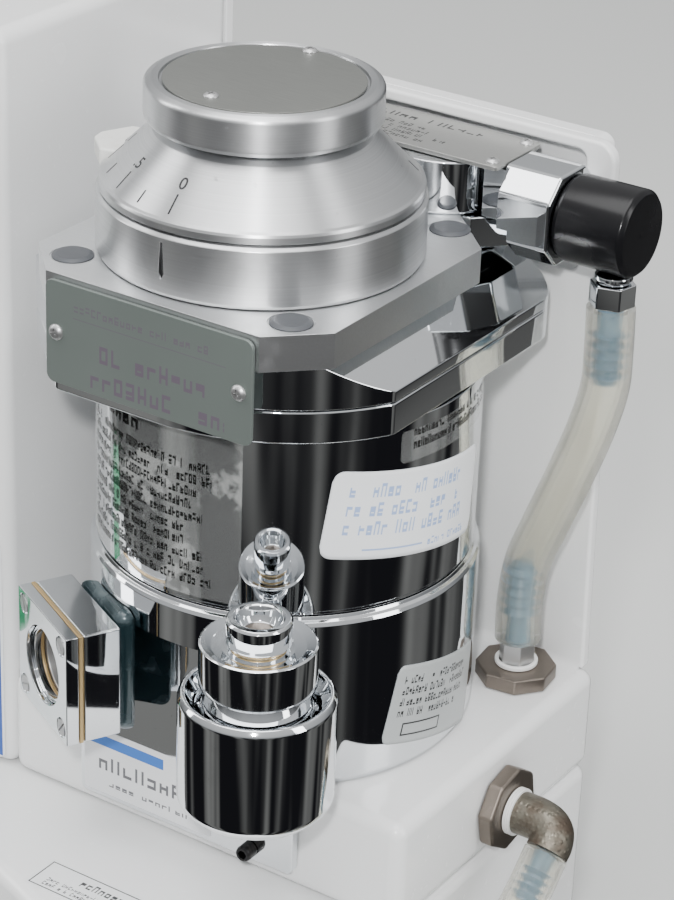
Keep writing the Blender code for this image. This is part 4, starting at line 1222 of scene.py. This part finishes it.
class MACHINE_OT_sight_glass(bpy.types.Operator):
    """Build the sight glass: saddle, box, gasket, bezel, glass and screws."""

    bl_idname = "machine.sight_glass"
    bl_label = "Sight glass"

    def execute(self, context):
        at_glass = facing(SIGHT_ANGLE, 0, SIGHT_Z)
        outward = at_glass @ Matrix.Rotation(math.radians(90), 4, "X")
        half = 17
        saddle = block("saddle_cast", (-15, -58.6, -19), (15, -40, 19.5), at_glass)
        saddle = edged(saddle, 3.5 * MM, 5)
        clear = cylinder(SUMP_CLEAR, -40, 80, place(), FINE_STEPS)
        flat = block("flat", (-60, FACE_Y - 3.6, -40), (60, 40, 64))
        hole = cylinder(1.1, -3, 3, outward @ Matrix.Translation((0, -15.5 * MM, 58.6 * MM)), 32)
        finish(smooth(carved(saddle, clear, flat, hole)), "saddle", "sight_saddle")

        def slab(name, far, near, *seats):
            piece = block(name, (-half, -far, -half), (half, -near, half), at_glass)
            return carved(piece, cylinder(11.5, 61, 80, outward, 128), *seats)

        finish(edged(slab("sight_box", 70, 58.9), 0.6 * MM), "chrome", "sight_block")
        finish(edged(slab("sight_gasket_ring", 71.3, 70.1), 0.15 * MM, 2), "brass", "sight_gasket")
        corners = [(x, z) for x in (-13, 13) for z in (-13, 13)]
        seats = [cylinder(2.9, -0.9, 3, outward @ Matrix.Translation((x * MM, z * MM, 75.2 * MM)), 40)
                 for x, z in corners]
        finish(edged(slab("sight_frame", 75.2, 71.5, *seats), 0.5 * MM), "chrome", "sight_bezel")
        rings = (("front", "chrome", 9.9, 71.5, 73.6), ("thread", "brass", 10.5, 70.2, 71.2),
                 ("rear", "steel", 9.6, 66.2, 69.9))
        for name, look, inner, low, high in rings:
            finish(turned("sight_ring_" + name, hollow(inner, 11.3, low, high), outward, 0.25, 128), look)
        finish(turned("sight_lens", disc(11.2, 62.3, 66), outward, 0.3, 128), "glass", "sight_glass")
        finish(turned("sight_back", disc(11.2, 61.4, 62), outward, 0.1, 96), "rubber")
        matrices = [outward @ Matrix.Translation((x * MM, z * MM, 74.4 * MM)) @ Matrix.Rotation(turn, 4, "Z")
                    for (x, z), turn in zip(corners, (0.5, 1.9, 0.9, 2.4))]
        finish(screws("sight_screws", matrices, 2.5, "slot", 0.9), "steel")
        return {"FINISHED"}


class MACHINE_OT_filler(bpy.types.Operator):
    """Turn the filler's bowl and its screw cap."""

    bl_idname = "machine.filler"
    bl_label = "Filler"

    def execute(self, context):
        at_bowl = facing(FILLER_ANGLE, FILLER_REACH, FILLER_Z)
        height, outer, throat, bore = 35.6, 21.3, 15.2, 12.6
        ledge = height - 4.8
        bowl = turned("bowl_turned", [
            (bore, ledge, 0.2), (throat, ledge, 0.6), (19.4, height, 0.7), (20.2, height, 0.7),
            (outer, height - 1.6, 1.5), (outer, 3.6, 3.6), (outer - 3.6, 0, 2.6), (0, 0), (0, 8), (bore, 8),
            (bore, ledge, 0.2)],
            at_bowl, 0.3, FINE_STEPS)
        clear = cylinder(SUMP_CLEAR, -40, 80, place(), FINE_STEPS)
        finish(smooth(carved(bowl, clear)), "chrome", "filler_bowl")
        self.cap(at_bowl, ledge)
        return {"FINISHED"}

    @staticmethod
    def cap(matrix, ledge):
        seat, skirt, rim, top = ledge + 0.3, 38, 50.7, 58.2
        profile = [
            (0, 53.4), (4.6, 53.6, 0.8), (5.5, 55.4, 0.6), (6.2, 57.7, 0.5), (7.0, top, 0.4), (8.3, 57.9, 0.5),
            (8.9, 57.2, 0.3), (8.9, 50.7, 0.9), (7.7, 50.0, 0.2), (7.4, 49.2, 0.2), (9.6, 48.9, 0.8),
            (12.6, 49.5, 2), (15.2, rim, 0.2), (15.8, rim - 0.4, 0.2), (15.9, skirt + 0.6, 0.4),
            (15.3, skirt, 0.3), (13.6, skirt, 0.3), (13.2, 36.6, 0.6), (13.9, 35.0, 0.8), (14.6, 33.4, 0.6),
            (14.8, seat + 0.6, 0.4), (12, seat, 0.2), (12, 14), (0, 14)]
        cap = turned("cap_turned", profile, matrix, 0.3, FINE_STEPS)
        finish(cap, "chrome", "filler_cap", body="filler_cap")
        collar = turned("cap_collar", hollow(7.2, 7.75, 49.5, 49.9), matrix, 0.1, 96)
        finish(collar, "brass", body="filler_cap")
        crater = turned("cap_recess", [(0, 53.65), (4.3, 53.8, 0.4), (4.3, 53.2), (0, 53.2)], matrix, 0.2, 64)
        finish(crater, "dark_nickel", body="filler_cap")


class MACHINE_OT_manifold(bpy.types.Operator):
    """Build the gas manifold, its couplings and the black outlet adaptor."""

    bl_idname = "machine.manifold"
    bl_label = "Manifold"

    def execute(self, context):
        plan = [(-33, 37.3), (33, 37.3), (46, 53), (46, 59.6), (-46, 59.6), (-46, 53)]
        milled = prism("manifold_milled", plan, FLANGE_TOP + GAP, 144.2)
        finish(edged(milled, 0.6 * MM), "chrome", "manifold_block")
        for side, sign in (("left", -1), ("right", 1)):
            profile = [(0, 160), (16.5, 160, 0.6), (16.5, 145.4, 0.9), (15.9, 144.5), (0, 144.5)]
            port = turned("port_" + side, profile, place(18.2 * sign, PORT_Y), 0.4, 160)
            finish(port, "chrome", "port_housing_" + side)
        plate = prism("manifold_nameplate", rounded((-41.6, 35.3), (41.6, 59.8), 1.2), 160.3, 161.6)
        finish(edged(plate, 0.2 * MM, 2), "name_plate", "manifold_plate")
        spots = [(x, y) for x in (-38.4, 38.4) for y in (38.6, 56.8)]
        finish(screws("manifold_screws", [place(x, y, 161.6) for x, y in spots], 2.0, "cross", 1.1), "steel")
        self.couplings()
        self.outlet()
        return {"FINISHED"}

    @staticmethod
    def couplings():
        """Square chrome bars with broad chamfers, relieved where they pass the plate and the block."""
        half, flat = 13, 6.7
        outline = [(half, -flat), (half, flat), (flat, half), (-flat, half),
                   (-half, flat), (-half, -flat), (-flat, -half), (flat, -half)]
        along = place(0, PORT_Y, PORT_Z, RIGHT)
        for node, low, high in (("outlet_coupling", 35, 59.1), ("inlet_coupling", TOWER_X + GAP, -35)):
            piece = edged(prism(node + "_milled", outline, low, high, along), 0.9 * MM, 3)
            reliefs = [block("relief", (-x, 20, bottom), (x, back, top)) for x, back, bottom, top in (
                (46.4, 70, 120, PLATE_TOP), (42, 70, 159.6, 170), (43, 40, 120, 170))]
            finish(edged(carved(piece, *reliefs), 0.3 * MM, 2), "chrome", node)

    @staticmethod
    def outlet():
        lift = place(0, PORT_Y, PORT_Z, RIGHT)
        profile = [(0, 80.9), (11.2, 81.2, 0.5), (12.4, 80.0, 1.3), (12.35, 61, 0.8), (11.5, 59.4, 0.5), (0, 59.4)]
        finish(turned("adaptor_moulded", profile, lift, 0.3, 160), "adaptor", "taper_adaptor")
        profile = [(0, 0.12), (0.8, 0.1, 0.2), (1.1, -0.05), (0, -0.05)]
        finish(turned("adaptor_gate", profile, place(81.1, PORT_Y, PORT_Z, RIGHT), 0.1, 32), "adaptor")


HOSE_ROUTE = [
    (73.8, 47, 125.2), (74.2, 46.9, 112), (74, 46.8, 101), (70.7, 46.7, 86.9), (65.4, 46.6, 71),
    (58.8, 46.5, 53), (54.2, 46.4, 39.6), (52.5, 46.3, 26), (52.6, 46.3, 13.6),
]
SIDE_Y, SIDE_Z, ELBOW_X, SIDE_NUT_X = 10, -19, 90, 75.2
RETURN_Y, RETURN_Z = -78, -66


def ribbed(name, spots, radius, ribs):
    """A barbed stub along a straight stretch between two places: ribs that widen away from the tip."""
    start, end = Vector(spots[0]), Vector(spots[1])
    length = (end - start).length
    pitch = length * 0.66 / ribs
    profile = [(0, length), (radius * 0.72, length, 0.4)]
    height = length - 0.6
    for _ in range(ribs):
        profile += [(radius * 0.68, height, 0.1), (radius, height - pitch * 0.6, 0.2),
                    (radius * 0.7, height - pitch * 0.7, 0.1)]
        height -= pitch
    profile += [(radius * 0.8, 0), (0, 0)]
    return turned(name, profile, place(*start, direction=(end - start).normalized()), 0.15, 64)


class MACHINE_OT_hoses(bpy.types.Operator):
    """Lead the two clear hoses between their fittings."""

    bl_idname = "machine.hoses"
    bl_label = "Hoses and fittings"

    def execute(self, context):
        wall = sizes().hose_wall / MM
        finish(rod("hose_clear", smooth_route(HOSE_ROUTE, 8), 6.9, wall, 11), "hose", "gas_hose")
        self.upper_fitting()
        self.lower_fitting()
        self.side_fitting(wall)
        return {"FINISHED"}

    @staticmethod
    def upper_fitting():
        x, y, z = HOSE_ROUTE[0]
        top = PORT_Z - 12.9
        profile = [(0, top), (5.2, top, 0.3), (5.4, top - 1.2, 0.4), (4.8, top - 2.2), (0, top - 2.2)]
        finish(turned("fitting_collar", profile, place(x, y), 0.2, 64), "chrome")
        nut = edged(prism("fitting_nut", regular(6, 11.4, 0.3), z + 0.9, z + 7.6, place(x, y)), 0.4 * MM)
        finish(nut, "chrome", "hose_fitting_upper")
        finish(ribbed("barb_upper", [(x, y, z + 0.6), (x + 0.2, y - 0.1, z - 22.5)], 4.7, 5), "barb")

    @staticmethod
    def lower_fitting():
        x, y, z = HOSE_ROUTE[-1]
        nut = prism("shelf_nut_milled", regular(8, 22.4, 0.12), 0.3, 5, place(x, y))
        finish(edged(nut, 0.6 * MM), "dark_nickel", "shelf_nut")
        finish(turned("shelf_seal", hollow(5.2, 6.4, 5.1, 6.4), place(x, y), 0.3, 64), "seal")
        post = prism("shelf_post", regular(6, 9.4, 0.2), 5.2, z - 0.8, place(x, y))
        finish(edged(post, 0.3 * MM), "steel", "hose_fitting_lower")
        finish(ribbed("barb_lower", [(x, y, z - 0.5), (x - 0.1, y, z + 25)], 4.7, 5), "barb")

    @staticmethod
    def side_fitting(wall):
        side = place(0, SIDE_Y, SIDE_Z, RIGHT)
        nut = prism("side_nut_milled", regular(8, 23.6, 0.2), SHELF_RIGHT_X + GAP, SIDE_NUT_X, side)
        finish(edged(nut, 0.9 * MM, 4), "dark_nickel", "side_nut")
        end, turn = 77.6, ((7.1, 0.1), (7.1, 0.6), (6.6, 0.7))
        tape = [(radius, end - 0.75 * i - down) for i in range(3) for radius, down in turn]
        finish(turned("side_seal", [(5.6, end), *tape, (5.6, 75.3), (5.6, end)], side, 0.12, 64), "seal")
        drop = Vector((0, -0.75, -0.66)).normalized()
        corner = Vector((ELBOW_X, SIDE_Y, SIDE_Z))
        elbow_end = corner + drop * 8
        bend = smooth_route([(SIDE_NUT_X + GAP, SIDE_Y, SIDE_Z), (ELBOW_X - 6, SIDE_Y, SIDE_Z),
                             corner - Vector((1.6, 0, 0)) + drop * 1.6, corner + drop * 5, elbow_end], 6)
        finish(rod("elbow_cast", bend, 6.3, 0, 11), "rough_nickel", "side_elbow")
        start = elbow_end + drop * 0.6
        foot = Vector((ELBOW_X, RETURN_Y + 12, RETURN_Z))
        loop = [start, start + drop * 16, (ELBOW_X, -38, -56), foot + Vector((0, 8, 0)), foot]
        finish(rod("hose_outlet", smooth_route(loop, 10), 6.5, wall, 11), "hose", "outlet_hose")
        finish(ribbed("barb_side", [start, start + drop * 15], 4.3, 4), "barb")
        turn = Vector((ELBOW_X, RETURN_Y, RETURN_Z))
        back = smooth_route([
            foot - Vector((0, 1.5, 0)), turn + Vector((0, 6, 0)), turn + Vector((-1.6, 1.6, 0)),
            turn - Vector((6, 0, 0)), (SHELF_RIGHT_X + 0.6, RETURN_Y, RETURN_Z)], 6)
        finish(rod("return_cast", back, 6.3, 0, 11), "rough_nickel", "return_elbow")
        finish(ribbed("barb_return", [foot, foot + Vector((0, 15, 0))], 4.3, 4), "barb")


# The stem that a knob or a button reaches into the tower with.
STEM = ((4, 0), (4, -7.3), (0, -7.3))


class MACHINE_OT_controls(bpy.types.Operator):
    """Build the flowmeter, the flow knob, the flush button and the gas inlet."""

    bl_idname = "machine.controls"
    bl_label = "Flow controls"

    def execute(self, context):
        front = FACE_Y - GAP
        self.meter(front)
        self.knob(front)
        self.button(front)
        self.inlet()
        dress("brass", "needle_valve", "flush_valve")
        return {"FINISHED"}

    @staticmethod
    def meter(front):
        x, low, high = KNOB_X, 46, 166
        body = edged(block("meter_block", (x - 14, front - 20, low), (x + 14, front, high)), 1.5 * MM, 4)
        window = block("window", (x - 6.5, front - 21, low + 12), (x + 6.5, front - 3.5, high - 12))
        finish(edged(carved(body, window), 0.3 * MM, 2), "acrylic", "flowmeter_block")
        centre = place(x, front - 10)
        bottom, top = low + 12.3, high - 12.3
        finish(turned("meter_tube", hollow(4.2, 6, bottom, top), centre, 0.2, 96), "glass", "flow_tube")
        lift = bottom + 1
        bobbin = [(0, lift + 9), (3.6, lift + 8, 0.3), (3.6, lift + 6.5, 0.3), (2.2, lift + 5),
                  (2.2, lift + 1.5), (0.3, lift), (0, lift)]
        finish(turned("meter_float", bobbin, centre, 0.2, 64), "float", "flow_float", body="flow_float")
        ticks = bmesh.new()
        for i in range(17):
            reach = 4.5 if i % 4 == 0 else 2.6
            z = low + 20 + i * 5
            tick = block("tick", (x + 7.4, front - 20.12, z - 0.2), (x + 7.4 + reach, front - 19.9, z + 0.2))
            tick = settle(tick)
            ticks.from_mesh(tick.data)
            bpy.data.objects.remove(tick)
        finish(shaped("meter_scale", ticks, shade=False), "ink")
        for name, z in (("meter_screw_low", low + 6), ("meter_screw_high", high - 6)):
            finish(screws(name, [place(x, front - 20, z, FRONT)], 2.6, "cross", 1.4), "steel")

    @staticmethod
    def knob(front):
        matrix = place(KNOB_X, front, CONTROL_Z, FRONT)
        profile = [(0, 19.6), (11.5, 19.4, 1), (13.4, 20, 0.8), (14.5, 18.3, 1.2), (14.5, 4, 0.8),
                   (10.5, 1.4, 0.6), (10, 0, 0.3), *STEM]
        knob = turned("knob_turned", profile, matrix, 0.3, 144)
        out = Matrix.Translation((16.2 * MM, 0, 0))
        flutes = [cylinder(2.6, 3, 26, matrix @ Matrix.Rotation(2 * math.pi * i / 10, 4, "Z") @ out, 32)
                  for i in range(10)]
        finish(edged(carved(knob, *flutes), 0.5 * MM, 3), "control", "flow_knob", body="flow_knob")
        pointer = block("knob_pointer", (-0.6, 4, 19.2), (0.6, 11, 19.75), matrix)
        finish(edged(pointer, 0.15 * MM, 2), "white_ink", body="flow_knob")

    @staticmethod
    def button(front):
        matrix = place(FLUSH_X, front, CONTROL_Z, FRONT)
        profile = [(0, 11.2), (8.4, 11.4, 2), (10, 12, 0.8), (11.4, 10.4, 1.2), (11.4, 0, 0.3), *STEM]
        button = turned("button_moulded", profile, matrix, 0.3, 144)
        finish(button, "control", "flush_button", body="flush_button")

    @staticmethod
    def inlet():
        profile = [(0, 22), (3.4, 22, 0.3), (6, 21.4, 0.5), (6, 12.6, 0.3)]
        for i in range(5):
            z = 20.4 - i * 1.6
            profile[-1:-1] = [(6, z, 0.1), (5.4, z - 0.5, 0.1), (5.4, z - 0.7, 0.1), (6, z - 1.2, 0.1)]
        profile += [(8, 12, 0.4), (8, 7.4, 0.3), (8, 7, 0.3), (12, 7, 0.5), (12, 0.4, 0.4), (11.6, 0), (0, 0)]
        piece = turned("inlet_turned", profile, place(-142, REAR_Y + GAP, 10, BACK), 0.2, 128)
        finish(piece, "chrome", "oxygen_inlet")


def wrapped_label(name, radius, start, width, low, height, tilt, corner, look, columns=64, rows=16):
    """A thin sticker round the body. Its left edge starts in degrees from the front; tilt lowers its right."""
    shape = bmesh.new()
    layer = shape.loops.layers.uv.new("UVMap")
    grid = []
    for i in range(columns + 1):
        u = width * i / columns
        trim = max(0.0, corner - min(u, width - u))
        inset = corner - math.sqrt(max(0.0, corner * corner - trim * trim))
        column = []
        for j in range(rows + 1):
            v = inset + (height - 2 * inset) * j / rows
            along, up = u * math.cos(tilt) + v * math.sin(tilt), v * math.cos(tilt) - u * math.sin(tilt)
            angle = math.radians(start) + along / radius
            vertex = shape.verts.new(at(math.sin(angle) * radius, -math.cos(angle) * radius, low + up))
            column.append((vertex, (u / 100, v / 100)))
        grid.append(column)
    for i in range(columns):
        for j in range(rows):
            ring = (grid[i][j], grid[i + 1][j], grid[i + 1][j + 1], grid[i][j + 1])
            face = shape.faces.new([vertex for vertex, _ in ring])
            for loop, (_, spot) in zip(face.loops, ring):
                loop[layer].uv = spot
    obj = shaped(name, shape)
    modify(obj, "SOLIDIFY", thickness=STICKER * MM, offset=-1)
    return finish(obj, look)


class MACHINE_OT_labels(bpy.types.Operator):
    """Stick on the labels, whose print is plain marks."""

    bl_idname = "machine.labels"
    bl_label = "Labels"

    def execute(self, context):
        jacket, sump = 54.14, 55.74
        wrapped_label("service_sticker", jacket, 43.5, 58, 72, 26, math.radians(8.5), 3.4, "service_label", 96, 20)
        wrapped_label("clear_sticker", jacket, -47, 65, 56.5, 50, 0.0, 1.5, "clear_label", 128, 40)
        wrapped_label("clear_strip", jacket, 68, 54, 96.4, 9.4, 0.0, 1, "clear_label", 64, 8)
        wrapped_label("sump_sticker", sump, 64.5, 41, 10.5, 24.5, math.radians(13), 2.5, "sump_label", 72, 20)
        apron_front = -FACE_Y + 3.3
        sheets = [
            ("deck_sticker", "deck_label", rounded((-27.5, -85.4), (24.5, -72), 1.5), DECK_Z, UP),
            ("panel_sticker", "panel_label", rounded((-132, -31), (-69.6, 43), 3), -FACE_Y, FRONT),
            ("apron_sticker", "apron_label", rounded((-36.6, -25), (9, -3.6), 1), apron_front, FRONT),
        ]
        for name, look, outline, low, direction in sheets:
            sheet = prism(name, outline, low, low + STICKER, place(direction=direction))
            if name == "panel_sticker":
                sheet = carved(sheet, cylinder(12.6, 40, 50, place(FLUSH_X, 0, CONTROL_Z, FRONT)))
            finish(smooth(sheet), look)
        return {"FINISHED"}


BUILDERS = (
    MACHINE_OT_studio, MACHINE_OT_housing, MACHINE_OT_feet, MACHINE_OT_body, MACHINE_OT_flanges,
    MACHINE_OT_dial, MACHINE_OT_sight_glass, MACHINE_OT_filler, MACHINE_OT_manifold, MACHINE_OT_hoses,
    MACHINE_OT_controls, MACHINE_OT_labels,
)


class MACHINE_PT_panel(bpy.types.Panel):
    """Lists the machine's builders in the sidebar."""

    bl_idname = "MACHINE_PT_panel"
    bl_label = "Anesthesia Machine"
    bl_space_type = "VIEW_3D"
    bl_region_type = "UI"
    bl_category = "Machine"

    def draw(self, context):
        for group in (context.scene.machine_sizes, context.scene.machine_colours, context.scene.studio):
            box = self.layout.box()
            for name in group.bl_rna.properties.keys():
                if name not in ("rna_type", "name"):
                    box.prop(group, name)
        for builder in BUILDERS:
            self.layout.operator(builder.bl_idname)


GROUPS = {"machine_sizes": MachineSizes, "machine_colours": MachineColours, "studio": StudioSettings}


def register():
    for name, group in GROUPS.items():
        bpy.utils.register_class(group)
        setattr(bpy.types.Scene, name, PointerProperty(type=group))
    for made in (*BUILDERS, MACHINE_PT_panel):
        bpy.utils.register_class(made)


def unregister():
    for made in (MACHINE_PT_panel, *reversed(BUILDERS)):
        bpy.utils.unregister_class(made)
    for name, group in GROUPS.items():
        delattr(bpy.types.Scene, name)
        bpy.utils.unregister_class(group)


def main():
    register()
    for builder in BUILDERS:
        area, name = builder.bl_idname.split(".")
        getattr(getattr(bpy.ops, area), name)()


if __name__ == "__main__":
    main()
